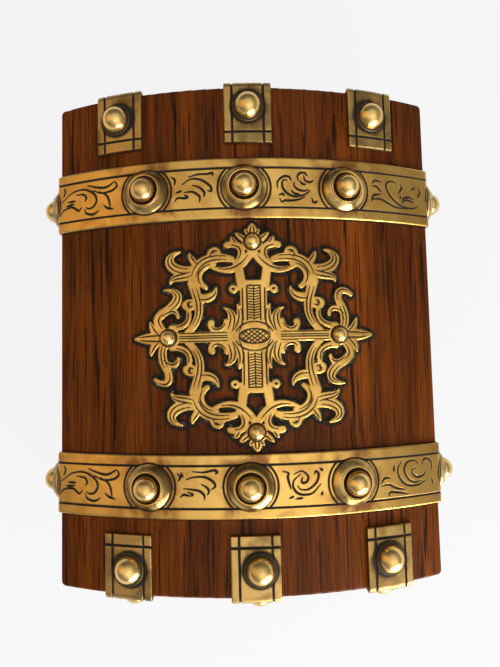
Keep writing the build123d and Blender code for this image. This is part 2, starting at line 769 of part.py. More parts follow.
def baize_sheet():
    """The cloth under the case."""
    x, y = half_length - baize_inset, half_depth - baize_inset
    return block(-x, x, -y, y, 0, baize)


def case_linings():
    """Velvet-covered card on each wall, and the pad on the floor."""
    x, y, top = inner_length / 2, inner_depth / 2, case_height - lining_drop
    pad_x, pad_y = x - card - soft_gap, y - card - soft_gap
    return {
        "case_lining_front": block(-x, x, -y, -y + card, floor_top, top),
        "case_lining_back": block(-x, x, y - card, y, floor_top, top),
        "case_lining_left": block(-x, -x + card, -y + card, y - card, floor_top, top),
        "case_lining_right": block(x - card, x, -y + card, y - card, floor_top, top),
        "base_pad": block(-pad_x, pad_x, -pad_y, pad_y, floor_top, floor_top + base_pad_height),
    }


def case_strap(x, side):
    """A flat strap up the front (side -1) or the back (side 1) of the case."""
    y0, y1 = sorted((side * half_depth, side * (half_depth + strap_thickness)))
    half = strap_width / 2
    strap = block(x - half, x + half, y0, y1, baize + strap_end_gap, case_height - strap_end_gap)
    holes = [f for f in case_stud_frames(0.0) if f.origin.X * x > 0 and f.origin.Y * side > 0]
    return drilled(strap, shank_holes(holes))


# ---------------------------------------------------------------- woodwork of the lid
def lid_wood():
    """The domed panel and the four walls under it."""
    outside = lid_block()
    under_panel = cylinder_x(dome_radius - top_panel)
    dome_cuts = shank_holes([f for f in lid_stud_frames(0.0) if abs(f.z_dir.Z) > 0.5])
    dome_cuts += shank_holes([f for f in tab_stud_frames(0.0) if abs(f.z_dir.Z) > 0.5])
    dome_cuts += shank_holes(mount_stud_frames(0.0))
    pieces = {"lid_panel": drilled(outside - under_panel, dome_cuts)}
    inside = block(-inner_length / 2, inner_length / 2, -inner_depth / 2, inner_depth / 2,
                   case_height - 1, crest + 1)
    ring = (outside & under_panel) - inside
    cuts = {"front": [link_pocket()], "back": [], "left": [], "right": []}
    for frame in lid_stud_frames(0.0):
        if abs(frame.z_dir.Z) < 0.5:
            cuts["front" if frame.origin.Y < 0 else "back"] += shank_holes([frame])
    for frame in tab_stud_frames(0.0):
        if abs(frame.z_dir.Z) < 0.5:
            cuts["left" if frame.origin.X < 0 else "right"] += shank_holes([frame])
    for x in (-hinge_centre, hinge_centre):
        cuts["back"].append(leaf_pocket(x, -1))
    cuts["back"] += [frame * screw_hole() for frame in hinge_screw_frames(-1)]
    names = {"front": "lid_front_rail", "back": "lid_back_rail",
             "left": "lid_left_end", "right": "lid_right_end"}
    for side, name in names.items():
        pieces[name] = drilled(ring & mitre_wedge(side), cuts[side])
    return pieces


def lid_linings():
    """The arched pad under the dome and the lining of the lid's walls."""
    x, y = inner_length / 2, inner_depth / 2
    top = dome_radius - top_panel - soft_gap
    pad = cylinder_x(top) - cylinder_x(top - lid_pad_depth)
    pad &= block(-x + soft_gap, x - soft_gap, -y + soft_gap, y - soft_gap, case_height, crest)
    under = cylinder_x(top - lid_pad_depth - soft_gap)
    low = case_height + lid_lining_rise
    return {
        "lid_pad": pad,
        "lid_lining_front": block(-x, x, -y, -y + card, low, crest) & under,
        "lid_lining_back": block(-x, x, y - card, y, low, crest) & under,
        "lid_lining_left": block(-x, -x + card, -y + card, y - card, low, crest) & under,
        "lid_lining_right": block(x - card, x, -y + card, y - card, low, crest) & under,
    }


def lid_strap(x):
    """One strap bent over the dome and down both rims."""
    half = strap_width / 2
    sheet = extrude(Plane.YZ * lid_section(strap_thickness), half, both=True)
    sheet -= extrude(Plane.YZ * lid_section(), strap_width, both=True)
    sheet &= block(-half, half, -reach, reach, case_height + strap_end_gap, crest + reach)
    holes = [f for f in lid_stud_frames(0.0) if f.origin.X * x > 0]
    return drilled(Pos(x, 0, 0) * sheet, shank_holes(holes))


def tabs():
    """Six tabs, each bent over an end of the lid."""
    skin = lid_block(tab_thickness) - lid_block()
    half = tab_width / 2
    pieces = {}
    for row in tab_table:
        end, place, y = row[:3]
        side = end_side(end)
        x0, x1 = sorted((side * (half_length - tab_length), side * (half_length + tab_thickness + 1)))
        low = dome_height(y) - tab_length
        solid = skin & block(x0, x1, y - half, y + half, low, crest + reach)
        pieces[f"tab_{end}_{place}"] = drilled(solid, shank_holes(one_tab_studs(row, 0.0)))
    return pieces


def mount():
    """The pierced brass mount at the middle of the dome."""
    skin = cylinder_x(dome_radius + mount_thickness) - cylinder_x(dome_radius)
    skin &= block(-half_length, half_length, -half_depth, half_depth, dome_axis, crest + reach)
    return drilled(pierced_mount(skin), shank_holes(mount_stud_frames(0.0)))


# ---------------------------------------------------------------- everything, by name
def build_case():
    """Nodes that stay still."""
    walls = case_walls()
    nodes = {
        "case_front": walls["front"],
        "case_back": walls["back"],
        "case_left_end": walls["left"],
        "case_right_end": walls["right"],
        "case_floor": floor(),
        "base_baize": baize_sheet(),
    }
    nodes.update(case_linings())
    for face, side in (("front", -1), ("back", 1)):
        nodes[f"case_strap_{face}_left"] = case_strap(-strap_centre, side)
        nodes[f"case_strap_{face}_right"] = case_strap(strap_centre, side)
    strapped = block(-half_length, half_length, -half_depth - strap_thickness, half_depth + strap_thickness,
                     0, case_height)
    nodes["case_stud_collars"] = collars(case_stud_frames(strap_thickness), strapped)
    nodes["case_stud_heads"] = heads(case_stud_frames(strap_thickness))
    for name, x in (("left", -hinge_centre), ("right", hinge_centre)):
        nodes[f"hinge_leaf_case_{name}"] = hinge_leaf_solid(x, 1)
        nodes[f"hinge_pin_{name}"] = hinge_pin(x)
    nodes["hinge_screws_case"] = hinge_screws(1)
    nodes["lock_plate"] = lock_plate()
    nodes["lock_cap"] = lock_cap()
    nodes["lock_bolt"] = lock_bolt()
    nodes["lock_spring"] = lock_spring()
    nodes["lock_screws"] = [f * screw() for f in selvage_screw_frames() + back_plate_screw_frames()]
    nodes["keyhole_escutcheon"] = escutcheon()
    nodes["escutcheon_pins"] = escutcheon_pins()
    return nodes


def build_lid():
    """Nodes that swing on the hinges."""
    nodes = lid_wood()
    nodes.update(lid_linings())
    nodes["lid_strap_left"] = lid_strap(-strap_centre)
    nodes["lid_strap_right"] = lid_strap(strap_centre)
    strapped = extrude(Plane.YZ * lid_section(strap_thickness), half_length, both=True)
    nodes["lid_stud_collars"] = collars(lid_stud_frames(strap_thickness), strapped)
    nodes["lid_stud_heads"] = heads(lid_stud_frames(strap_thickness))
    nodes.update(tabs())
    tab_sizes = (tab_stud_radius, tab_stud_flange, tab_stud_rim, tab_stud_height)
    nodes["tab_studs"] = domes(tab_stud_frames(tab_thickness), tab_sizes, tab_thickness,
                               lid_block(tab_thickness))
    nodes["pierced_mount"] = mount()
    mount_sizes = (mount_stud_radius, mount_stud_flange, mount_stud_rim, mount_stud_height)
    nodes["mount_studs"] = domes(mount_stud_frames(mount_thickness), mount_sizes, mount_thickness,
                                 cylinder_x(dome_radius + mount_thickness))
    for name, x in (("left", -hinge_centre), ("right", hinge_centre)):
        nodes[f"hinge_leaf_lid_{name}"] = hinge_leaf_solid(x, -1)
    nodes["hinge_screws_lid"] = hinge_screws(-1)
    nodes["lock_link_plate"] = link_plate()
    nodes["link_plate_screws"] = [f * screw() for f in link_screw_frames()]
    return nodes


def save(nodes):
    """One STEP file per node; a list is a group of separate solids."""
    os.makedirs("parts", exist_ok=True)
    for name, shape in nodes.items():
        solids = shape if isinstance(shape, list) else [shape]
        solids = [s for one in solids for s in one.solids()]
        whole = solids[0] if len(solids) == 1 else Compound(children=solids)
        whole.label = name
        export_step(whole, f"parts/{name}.step")
        print(f"{name}: {len(solids)} solids, {sum(s.volume for s in solids):.1f} mm3")


if __name__ == "__main__":
    save(build_case())
    save(build_lid())
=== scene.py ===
# %% [markdown]
# # A brass-bound casket with a domed lid
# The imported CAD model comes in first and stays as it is. It says where every piece is, so each thing made
# here goes where the CAD has it, in metres: X along the casket, the front facing -Y, and Z up.

import math

import bpy
import numpy as np
from mathutils import Matrix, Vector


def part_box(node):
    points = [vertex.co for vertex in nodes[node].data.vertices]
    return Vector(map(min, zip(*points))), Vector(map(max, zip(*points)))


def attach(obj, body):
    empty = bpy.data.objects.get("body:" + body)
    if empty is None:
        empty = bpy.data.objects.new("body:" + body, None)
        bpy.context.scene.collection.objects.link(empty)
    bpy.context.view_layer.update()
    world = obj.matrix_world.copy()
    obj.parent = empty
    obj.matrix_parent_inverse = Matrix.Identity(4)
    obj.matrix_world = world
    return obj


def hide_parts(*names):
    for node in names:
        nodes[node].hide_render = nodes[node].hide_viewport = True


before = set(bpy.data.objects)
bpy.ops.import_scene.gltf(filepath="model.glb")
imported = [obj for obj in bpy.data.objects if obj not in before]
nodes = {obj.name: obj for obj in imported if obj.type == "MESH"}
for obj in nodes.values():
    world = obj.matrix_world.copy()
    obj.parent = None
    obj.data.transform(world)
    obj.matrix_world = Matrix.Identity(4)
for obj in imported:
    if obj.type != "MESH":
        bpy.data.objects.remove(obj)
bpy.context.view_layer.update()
print(len(nodes), "pieces in the frame")

# %% [markdown]
# Brass work is thought of in millimetres, so the shapes below are drawn in them and turned to metres only
# when a mesh is made. The outer sizes are read from the CAD pieces. The few that a box can't tell, such as
# how far the dome rises, are named here.

# %% Sizes, in millimetres
mm = 0.001
panel_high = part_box("lid_panel")[1]
half_length, half_depth, crest = (value / mm for value in panel_high)
closing_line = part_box("lid_front_rail")[0].z / mm
dome_rise = 20.0
edge_round = 1.0
strap_sheet, tab_sheet, mount_sheet = 1.5, 2.0, 1.5
dome_radius = (half_depth**2 + dome_rise**2) / (2 * dome_rise)
dome_axis = crest - dome_radius
strap_x = sum(corner.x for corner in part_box("lid_strap_right")) / 2 / mm
print(f"half length {half_length:.1f}, half depth {half_depth:.1f}, crest {crest:.1f}, dome {dome_radius:.1f}")

# %% [markdown]
# ## Shader maths
# A material is a chain of nodes. Written out one by one the chain is hard to follow, so an output of a node
# is wrapped in a small class: adding or multiplying two of them adds the Math node that does it.

# %% A wrapped output, and the recipe that it belongs to
class Link:
    def __init__(self, recipe, output):
        self.recipe, self.output = recipe, output

    def maths(self, operation, *values):
        return self.recipe.add("ShaderNodeMath", {"operation": operation}, dict(enumerate(values)))

    def __add__(self, other):
        return self.maths("ADD", self, other)

    def __sub__(self, other):
        return self.maths("SUBTRACT", self, other)

    def __mul__(self, other):
        return self.maths("MULTIPLY", self, other)

    def __rsub__(self, other):
        return self.maths("SUBTRACT", other, self)

    def __pow__(self, other):
        return self.maths("POWER", self, other)

    __radd__, __rmul__ = __add__, __mul__

    def between(self, low, high):
        """0 at low and 1 at high, with a soft start and end."""
        return self.recipe.add(
            "ShaderNodeMapRange", {"interpolation_type": "SMOOTHSTEP"}, {0: self, 1: low, 2: high})


class Recipe:
    """A finish, or the light of the room, while it is being made."""

    def __init__(self, name, kind="materials"):
        self.owner = getattr(bpy.data, kind).new(name)
        self.owner.use_nodes = True
        self.tree = self.owner.node_tree
        self.tree.nodes.clear()

    def add(self, kind, settings=None, sockets=None, output=0):
        node = self.tree.nodes.new(kind)
        for key, value in (settings or {}).items():
            setattr(node, key, value)
        for key, value in (sockets or {}).items():
            if isinstance(value, Link):
                self.tree.links.new(value.output, node.inputs[key])
            else:
                node.inputs[key].default_value = value
        return Link(self, node.outputs[output])

    def place(self, scale=(1, 1, 1)):
        """Where a point is on the object, in metres, stretched by scale."""
        where = self.add("ShaderNodeTexCoord", output="Object")
        return self.add("ShaderNodeVectorMath", {"operation": "MULTIPLY"}, {0: where, 1: scale})

    def noise(self, scale, stretch=(1, 1, 1), detail=4.0, rough=0.55, warp=0.0):
        return self.add("ShaderNodeTexNoise", {"noise_dimensions": "3D"}, {
            "Vector": self.place(stretch), "Scale": scale, "Detail": detail, "Roughness": rough,
            "Distortion": warp})

    def painted(self, name):
        """A value painted on the mesh's points."""
        return self.add("ShaderNodeAttribute", {"attribute_name": name}, output="Fac")

    def blend(self, factor, first, second, how="MIX"):
        """Two colours, mixed by a factor."""
        first, second = (c if isinstance(c, Link) else (*c, 1.0) for c in (first, second))
        return self.add("ShaderNodeMix", {"data_type": "RGBA", "blend_type": how},
                        {0: factor, 6: first, 7: second}, output=2)

    def bump(self, height, strength, distance=0.0002):
        return self.add("ShaderNodeBump", None, {"Height": height, "Strength": strength, "Distance": distance})

    def finish(self, sockets):
        """The shader and the output; returns the material."""
        return self.end_with(self.add("ShaderNodeBsdfPrincipled", None, sockets))

    def end_with(self, shader, end="ShaderNodeOutputMaterial"):
        self.tree.links.new(shader.output, self.tree.nodes.new(end).inputs["Surface"])
        return self.owner


def colour(red, green, blue):
    """A colour as a paint chart gives it, 0 to 255, turned to the light that it reflects."""
    return tuple(((c / 255 + 0.055) / 1.055) ** 2.4 if c > 10 else c / 255 / 12.92 for c in (red, green, blue))


# %% [markdown]
# ## Brass
# Old brass is one metal with several faces. Where it is rubbed it is pale gold, where fingers don't reach it
# goes brown with a purple cast, and polish dries black in every cut. The meshes carry a painted value which
# is 1 in the cuts, and which also puts painted shade round the feet of the studs and in the gaps of the turned
# studs. A second painted value is the purple tarnish, and on the slopes of the collars a painted dark
# reflection.
# Noise does the rest: soft patches for the tarnish and fine hair lines, mostly in the bump, for years of
# rubbing.

# %% The brass recipe
def brass(name, bright, dull, tarnish, rough, spread=0.5, scratches=0.25):
    r = Recipe(name)
    grime = r.painted("grime")
    patch = r.noise(70.0, detail=5.0, warp=0.6).between(0.38, 0.66)
    stain = r.noise(38.0, stretch=(1.0, 1.0, 1.3), detail=6.0, rough=0.65).between(0.56, 0.74)
    hair = r.noise(900.0, stretch=(0.12, 1.0, 1.0), detail=2.0)
    specks = r.noise(1500.0, detail=2.0).between(0.66, 0.78)
    metal = r.blend(patch * spread, bright, dull)
    # painted tarnish, which on the collars' slopes is a painted dark reflection
    tarnish_share = (stain * 0.8 + r.painted("tarnish") * (0.5 + patch)).between(0.1, 1.3) * 0.8
    metal = r.blend(tarnish_share, metal, tarnish)
    metal = r.blend(specks * 0.35, metal, colour(70, 45, 20))
    # black polish in the cuts, and painted shade at the studs' feet and in their gaps
    metal = r.blend(grime.between(0.15, 0.75), metal, colour(34, 24, 10))
    return r.finish({
        "Base Color": metal,
        "Metallic": 1.0 - grime.between(0.3, 0.9) * 0.85,
        "Roughness": rough + patch * 0.08 + stain * 0.12 + grime.between(0.2, 0.8) * 0.4,
        "Normal": r.bump(hair + patch * 0.4 - specks * 0.5, scratches, 0.00006),
    })


engraved_brass = brass("engraved_brass", colour(222, 180, 98), colour(176, 130, 64), colour(112, 64, 44),
                       0.27, 0.65)
sheet_brass = brass("sheet_brass", colour(190, 156, 94), colour(126, 102, 62), colour(84, 58, 44), 0.32, 0.9)
turned_brass = brass("turned_brass", colour(234, 200, 128), colour(188, 150, 86), colour(82, 60, 30),
                     0.2, 0.5, 0.1)
plain_brass = brass("plain_brass", colour(214, 168, 90), colour(180, 134, 68), colour(140, 88, 54), 0.25, 0.5)
print("brass finishes:", engraved_brass.name, sheet_brass.name, turned_brass.name, plain_brass.name)

# %% [markdown]
# ## Wood
# The casket is veneered in a dark, streaked wood and french polished. Streaks run with the grain, so the
# noise is pulled out long that way and squeezed across it. Three sizes are laid over each other: broad
# bands of colour, narrow dark veins, and pores as short dashes. The polish is a clear coat.

# %% The wood recipe, for grain along X, Y or Z
def wood(name, along, dark, mid, light, vein_depth=1.0):
    def across(squeeze):
        return tuple(0.035 * squeeze if axis == along else squeeze for axis in "XYZ")

    r = Recipe(name)
    bands = r.noise(1.0, stretch=across(75.0), detail=5.0, rough=0.6, warp=0.3)
    fine = r.noise(1.0, stretch=across(900.0), detail=3.0, rough=0.6)
    veins = r.noise(1.0, stretch=across(430.0), detail=3.0, rough=0.6, warp=0.4)
    hairs = r.noise(1.0, stretch=across(800.0), detail=2.0, rough=0.5, warp=0.3)
    pores = r.noise(1.0, stretch=tuple(4.0 * value for value in across(420.0)), detail=1.0)
    tone = r.blend(bands.between(0.32, 0.68), mid, light)
    tone = r.blend((1.0 - fine.between(0.3, 0.62)) * 0.5, tone, dark)
    tone = r.blend((1.0 - veins.between(0.33, 0.42)) * vein_depth, tone, colour(30, 13, 6))
    tone = r.blend((1.0 - hairs.between(0.33, 0.4)) * 0.8 * vein_depth, tone, colour(34, 15, 7))
    tone = r.blend(r.noise(16.0, detail=3.0).between(0.45, 0.75) * 0.4, tone, dark)
    tone = r.blend(pores.between(0.64, 0.72) * 0.6, tone, colour(18, 8, 4))
    return r.finish({
        "Base Color": tone,
        "Roughness": 0.42 + fine * 0.15,
        "Normal": r.bump(fine * 0.5 - pores.between(0.6, 0.7), 0.35, 0.00008),
        "Coat Weight": 0.08,
        "Coat Roughness": 0.14,
        "Coat IOR": 1.45,
        "Specular IOR Level": 0.05,
    })


rosewood_tones = colour(42, 17, 3), colour(75, 34, 5), colour(124, 62, 12)
rosewood_x = wood("rosewood_along", "X", *rosewood_tones)
rosewood_y = wood("rosewood_ends", "Y", *rosewood_tones)
mahogany = wood("mahogany", "X", colour(88, 44, 24), colour(130, 70, 40), colour(160, 94, 56), 0.3)

# %% [markdown]
# ## Steel, velvet, silk and baize
# Steel is only in the lock's bolt and spring. Cloths are told apart by their sheen and their weave: velvet is
# deep and dark with a pale bloom at a low angle, silk is smooth with a fine thread, and baize is matt felt.

# %% The other finishes
def steel(name):
    r = Recipe(name)
    brushed = r.noise(1200.0, stretch=(0.1, 1.0, 1.0), detail=2.0)
    rust = r.noise(90.0, detail=5.0).between(0.55, 0.75)
    return r.finish({
        "Base Color": r.blend(rust * 0.5, colour(176, 174, 170), colour(110, 92, 76)),
        "Metallic": 1.0,
        "Roughness": 0.24 + brushed * 0.15 + rust * 0.2,
        "Normal": r.bump(brushed, 0.2, 0.00004),
    })


def cloth(name, deep, lit, thread, rough, sheen, bump):
    r = Recipe(name)
    weave = r.noise(thread, detail=3.0, rough=0.7)
    wear = r.noise(45.0, detail=4.0)
    return r.finish({
        # painted shade along the quilting valleys
        "Base Color": r.blend(r.painted("stitch") * 0.75,
                              r.blend(wear.between(0.35, 0.7) * 0.6 + weave.between(0.3, 0.7) * 0.4, deep, lit),
                              tuple(0.35 * part for part in deep)),
        "Roughness": rough - weave * 0.1,
        "Normal": r.bump(weave, bump, 0.00025),
        "Sheen Weight": sheen,
        "Sheen Roughness": 0.35,
        "Specular IOR Level": 0.25,
    })


steel = steel("steel")
velvet = cloth("velvet", colour(52, 13, 28), colour(104, 34, 58), 2600.0, 0.9, 0.6, 0.5)
quilted_silk = cloth("quilted_silk", colour(104, 34, 54), colour(140, 56, 78), 1800.0, 0.42, 0.3, 0.25)
baize = cloth("baize", colour(24, 44, 26), colour(44, 70, 42), 1500.0, 0.95, 0.3, 0.7)

# %% [markdown]
# ## Meshes from arrays
# A piece of sheet metal is a grid of points, a row at a time, with a side wall all round and a plain back.
# Numpy works out all the points at once, and one function turns any points and faces into a piece that
# rides on its body.

# %% One function makes every piece
def outwards(points, faces):
    """The faces, turned over if they enclose a negative volume."""
    fans = [(face[0], b, c) for face in faces for b, c in zip(face[1:-1], face[2:])]
    a, b, c = (points[column] for column in np.asarray(fans).T)
    return faces if np.einsum("ij,ij->", a, np.cross(b, c)) > 0 else [face[::-1] for face in faces]


def make_piece(name, points, faces, finish, slot, body, stands_for=(), sharp=38.0, **painted):
    points = np.asarray(points, float).reshape(-1, 3)
    mesh = bpy.data.meshes.new(name)
    mesh.from_pydata((points * mm).tolist(), [], outwards(points, faces))
    for key, values in painted.items():
        attribute = mesh.attributes.new(key, "FLOAT", "POINT")
        attribute.data.foreach_set("value", np.ravel(values).astype(np.float32))
    mesh.shade_smooth()
    mesh.set_sharp_from_angle(angle=math.radians(sharp))
    mesh.materials.append(finish)
    piece = bpy.data.objects.new(name, mesh)
    bpy.context.collection.objects.link(piece)
    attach(piece, body)
    if stands_for:
        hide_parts(*stands_for)
    print(f"{name}: {len(mesh.vertices)} points, {len(mesh.polygons)} faces")
    return piece


# %% A bent sheet: rows along u, columns along v, and height above the back for every point
def bent_sheet(place, us, vs, height):
    """Points and faces of a closed sheet; place(u, v, height) gives the points."""
    u, v = np.meshgrid(us, vs, indexing="ij")
    rows, columns = u.shape
    top = np.stack(np.broadcast_arrays(*place(u, v, height)), -1).reshape(-1, 3)
    edge = np.stack([vs[0] * np.ones(rows), vs[-1] * np.ones(rows)], 1)
    low = np.stack(np.broadcast_arrays(*place(np.stack([us, us], 1), edge, 0.0 * edge)), -1).reshape(-1, 3)
    grid = np.arange(rows * columns).reshape(rows, columns)
    base = rows * columns + np.arange(2 * rows).reshape(rows, 2)
    near, far = grid[:, 0], grid[:, -1]
    quads = np.concatenate([
        np.stack([grid[:-1, :-1], grid[1:, :-1], grid[1:, 1:], grid[:-1, 1:]], -1).reshape(-1, 4),
        np.stack([near[1:], near[:-1], base[:-1, 0], base[1:, 0]], -1),
        np.stack([far[:-1], far[1:], base[1:, 1], base[:-1, 1]], -1),
        np.stack([base[1:, 0], base[:-1, 0], base[:-1, 1], base[1:, 1]], -1),
    ]).tolist()
    quads.append([*grid[0].tolist(), int(base[0, 1]), int(base[0, 0])])
    quads.append([*grid[-1, ::-1].tolist(), int(base[-1, 0]), int(base[-1, 1])])
    return np.concatenate([top, low]), quads, len(low)


def with_soft_edges(half, step, soft):
    """Places across a sheet, closer together at its two rounded edges."""
    edge = soft * np.array([0.0, 0.07, 0.2, 0.4, 0.7])
    inner = np.linspace(-half + soft, half - soft, max(2, round(2 * (half - soft) / step)))
    return np.concatenate([-half + edge, inner, half - edge[::-1]])


def rounded(distance, soft):
    """How far a rounded edge drops at a distance in from it."""
    d = np.clip(distance / soft, 0.0, 1.0)
    return soft * (1.0 - np.sqrt(1.0 - (1.0 - d) ** 2))


def soft_step(values, low, high):
    """1 where values are at most low, 0 from high on, and a smooth fall between."""
    t = np.clip((high - values) / (high - low), 0.0, 1.0)
    return t * t * (3.0 - 2.0 * t)


# %% [markdown]
# ## Engraving
# A graver's cut is a stroke that swells and thins. Each stroke is a few points; a smooth curve runs through
# them, and what is wanted from it is the distance from any place on the sheet to the stroke's edge.

# %% Strokes
def curve_through(points, gap=0.16):
    """A smooth line through the points, as dabs a gap apart."""
    p = np.asarray(points, float)
    steps = 6 + round(np.linalg.norm(np.diff(p, axis=0), axis=1).sum() / gap)
    if len(p) == 2:
        return p[0] + np.linspace(0, 1, steps)[:, None] * (p[1] - p[0])
    padded_ends = np.vstack([2 * p[0] - p[1], p, 2 * p[-1] - p[-2]])
    t = np.linspace(0, len(p) - 1 - 1e-9, steps)
    i = t.astype(int)
    f = (t - i)[:, None]
    a, b, c, d = (padded_ends[i + k] for k in range(4))
    return 0.5 * (2 * b + (c - a) * f + (2 * a - 5 * b + 4 * c - d) * f**2 + (3 * b - a - 3 * c + d) * f**3)


def carve(field, us, vs, line, widths, reach=1.6):
    """Lower field to the distance from the edge of a line of round dabs of those half-widths."""
    low, high = line.min(0) - reach, line.max(0) + reach
    i0, i1 = np.searchsorted(us, [low[0], high[0]])
    j0, j1 = np.searchsorted(vs, [low[1], high[1]])
    if i0 == i1 or j0 == j1:
        return
    u, v = us[i0:i1, None, None], vs[None, j0:j1, None]
    away = np.hypot(u - line[:, 0], v - line[:, 1]) - widths
    field[i0:i1, j0:j1] = np.minimum(field[i0:i1, j0:j1], away.min(-1))


def swelling(count, thin=0.17, thick=0.47, lean=1.25):
    """Half-widths of a stroke that starts thin, swells and thins again."""
    t = np.linspace(0, 1, count)
    return thin + (thick - thin) * np.sin(math.pi * t**lean)


# %% [markdown]
# Every panel between two studs has its own scroll. The points are (along the strap, across it) from the
# panel's middle, and each scroll is a handful of strokes: one bold sweep, a curl inside it and short
# leaves at the corners.

# %% The scrolls
scroll_rim_back = (
    ((-11.6, 0.8), (-7.2, 4.5), (-2.2, 5.3), (1.7, 2.9), (3, -0.3), (1.9, -3.2), (0, -4), (-1.2, -3.3)),
    ((-5.3, 3.4), (-2.2, 2.9), (-1.1, 1.1), (-1.7, -0.3)),
    ((-1.7, -4), (-1.1, -6), (1.7, -6.9), (3.9, -5.6)),
    ((-0.5, 6.9), (3.3, 5.3), (6.7, 4.8), (10, 6.9)),
    ((1.7, 4), (5, 2.4), (8.9, 2.9), (10.8, 4.8), (10.3, 6.6)),
    ((4.2, 3.2), (6.7, 1.3), (7.8, -1.3), (8.3, -5)),
    ((5.8, -3.4), (7.2, -4.8), (9.4, -5.6)),
    ((-12.5, -5.3), (-10.6, -2.9), (-7.2, -2.1), (-5.3, -3.4), (-4.2, -4.2), (-3, -2.9)),
    ((-9.7, -1.3), (-6.1, -0.8)),
    ((-8.9, 0.5), (-5.6, 0.5)),
    ((-10.6, 7.4), (-10, 5.6), (-10.8, 3.4)),
)
scroll_leafy = (
    ((-4.5, 2.4), (-1.6, 4.5), (2.6, 4.2), (6.3, 1.1), (6.6, -1.1), (5.3, -0.8)),
    ((-0.5, 1.9), (2.1, 0.8), (4, -1.6), (3.7, -3.4)),
    ((-3.7, -1.1), (-0.5, -1.1), (2.1, -3.2), (2.1, -5.6)),
    ((-7.4, -4.8), (-6.3, -3.4), (-3.7, -3.7), (-2.4, -3.2), (-3.7, -2.2)),
    ((-6.9, -1.1), (-4.8, -0.3)),
    ((-1.9, 5.6), (1.6, 6.6), (5.3, 6.6), (7.2, 7), (7.2, 5.6)),
    ((-8.7, 6.1), (-7.4, 4.8), (-7.4, 2.6)),
)
scroll_double = (
    ((-7.5, -0.4), (-7.4, 2.6), (-5, 4.9), (-2.6, 4.8), (-1.6, 3.2)),
    ((-3.4, 3.2), (-4.8, 3.4), (-5.6, 1.8), (-5, -0.7), (-3.1, -2.8), (-0.1, -3.9), (3.7, -3.1), (6.4, -1.2)),
    ((-1.7, -1.2), (-0.4, -2.5), (1.8, -2.9)),
    ((-0.4, 2.3), (-0.4, 0.7), (1.3, -0.8), (3.7, -1.3), (5.6, -0.8)),
    ((1.3, 3.4), (1, 5.1), (2.3, 6.7), (4.3, 6.7), (5.1, 5.4)),
    ((3.7, 5.4), (4.3, 3.4), (6.2, 2.6), (7.8, 3.4)),
    ((1.8, 3.2), (3.2, 1.8), (4.5, 1.5)),
    ((-6.9, -3.4), (-5.6, -2.8), (-4.8, -3.7)),
    ((-6.7, -4.8), (-5.8, -6.4), (-4.5, -5.7), (-2.8, -5.8), (1, -5.3), (4, -4)),
    ((7, -4.5), (7.5, -6.1), (8.6, -6.4), (9.2, -5.6)),
)
scroll_shell = (
    ((-10.3, 3.9), (-9.2, 5.3), (-6.9, 5)),
    ((-10.3, 2.8), (-8.6, 2.5), (-6.9, 0.3)),
    ((-0.8, 4.7), (-1.9, 5.8), (-4.2, 5.3), (-5, 3.1), (-3.9, -0.3), (-1.4, -3.6), (1.9, -5.6), (5.8, -5.8),
     (8.1, -4.7)),
    ((1.1, 5), (1.4, 3.3), (0, 0.6)),
    ((1.4, -3.9), (1.9, -1.7), (4.2, -0.8), (6.4, -1.7)),
    ((1.7, -3.1), (3.6, -2.2), (6.4, -3.1)),
    ((0.6, -1.9), (0.8, -0.6)),
    ((5.3, 2.8), (6.7, 3.9), (6.9, 4.4)),
    ((8.3, 4.4), (9.2, 2.5), (8.1, -0.3)),
    ((-10.8, -3.6), (-9.7, -1.4), (-7.2, -0.8)),
    ((-10.6, -4.4), (-10.3, -3.3), (-7.2, -3.1), (-4.7, -4.4), (-1.4, -6.1), (3.6, -6.4)),
)
scroll_wave = (
    ((-4.8, 3.3), (-1.8, 4.3), (2.3, 4.3), (5.3, 2.5), (6.2, 0.5), (4.8, -0.8)),
    ((-5.8, -0.5), (-2.8, -0.8), (0.3, -1.5), (2, -3.3), (2, -5.1)),
    ((1, 1.3), (3, 0), (3.8, -1.5), (3.3, -3)),
    ((-2.3, 6.6), (1.8, 6.3), (5.8, 7.1), (7.1, 6.3), (6.3, 5.7)),
    ((-8.1, 5.8), (-7.1, 4.3), (-7.8, 2.8)),
    ((-6.8, 6.1), (-6.1, 4.3)),
    ((-7.1, -4), (-5.8, -3), (-3.3, -3.5)),
    ((-4.3, -1.8), (-2.5, -2.8), (-2.8, -3.5)),
)
scroll_spiral = (
    ((-3.7, 4.7), (-0.8, 5.8), (1.6, 3.7), (1.3, 1.6), (-0.3, 0.8), (-1, 1.8), (-0.5, 3.1)),
    ((-1.3, 4.5), (-3.9, 2.1), (-4.2, -1), (-1.8, -3.7), (2.9, -3.7), (6.6, 0)),
    ((-2.6, -0.3), (-1.3, -1.8), (1.8, -1.8), (5, 1), (5.8, 4.2), (4.7, 5.5), (4.2, 4.2)),
    ((-8.1, 6), (-6, 5.2), (-6.3, 3.7), (-5.8, 1), (-5.2, -1.4)),
    ((6.4, 6.6), (7.6, 5.6)),
    ((-5.8, -5.2), (-4.2, -4.6)),
    ((-3.4, -5.6), (-0.6, -5.4)),
    ((7.2, -3.2), (6.8, -4.6)),
)
scroll_rim_front = (
    ((-3.5, 6.8), (-5, 3.5), (-4.1, -0.6), (-1.5, -3.5), (2.6, -4.1), (6.2, -2.4)),
    ((3.2, 5), (2.1, 6.8), (-0.9, 6.5), (-2.4, 3.5), (-1.2, -0.6), (1.5, -2.6), (4.4, -2.4)),
    ((2.4, 3.5), (0.9, 2.9), (0.9, 0.9), (2.9, -0.6), (5.3, 0), (6.2, 1.5)),
    ((5, 4.7), (5.6, 6.8), (7.4, 7.1), (8.8, 5.3), (8.8, 1.8)),
    ((-6.2, 5.6), (-6.5, 2.9)),
    ((-11.2, -1.8), (-10, 0.3), (-7.9, 0.3)),
    ((-11.2, -2.9), (-8.5, -2.6), (-5.6, -4.4), (-2.6, -5.3)),
    ((-8.5, -7.4), (-8.2, -5.9), (-5.6, -6.2), (-1.2, -7.4)),
    ((8.8, -1.8), (9.1, -4.4)),
)

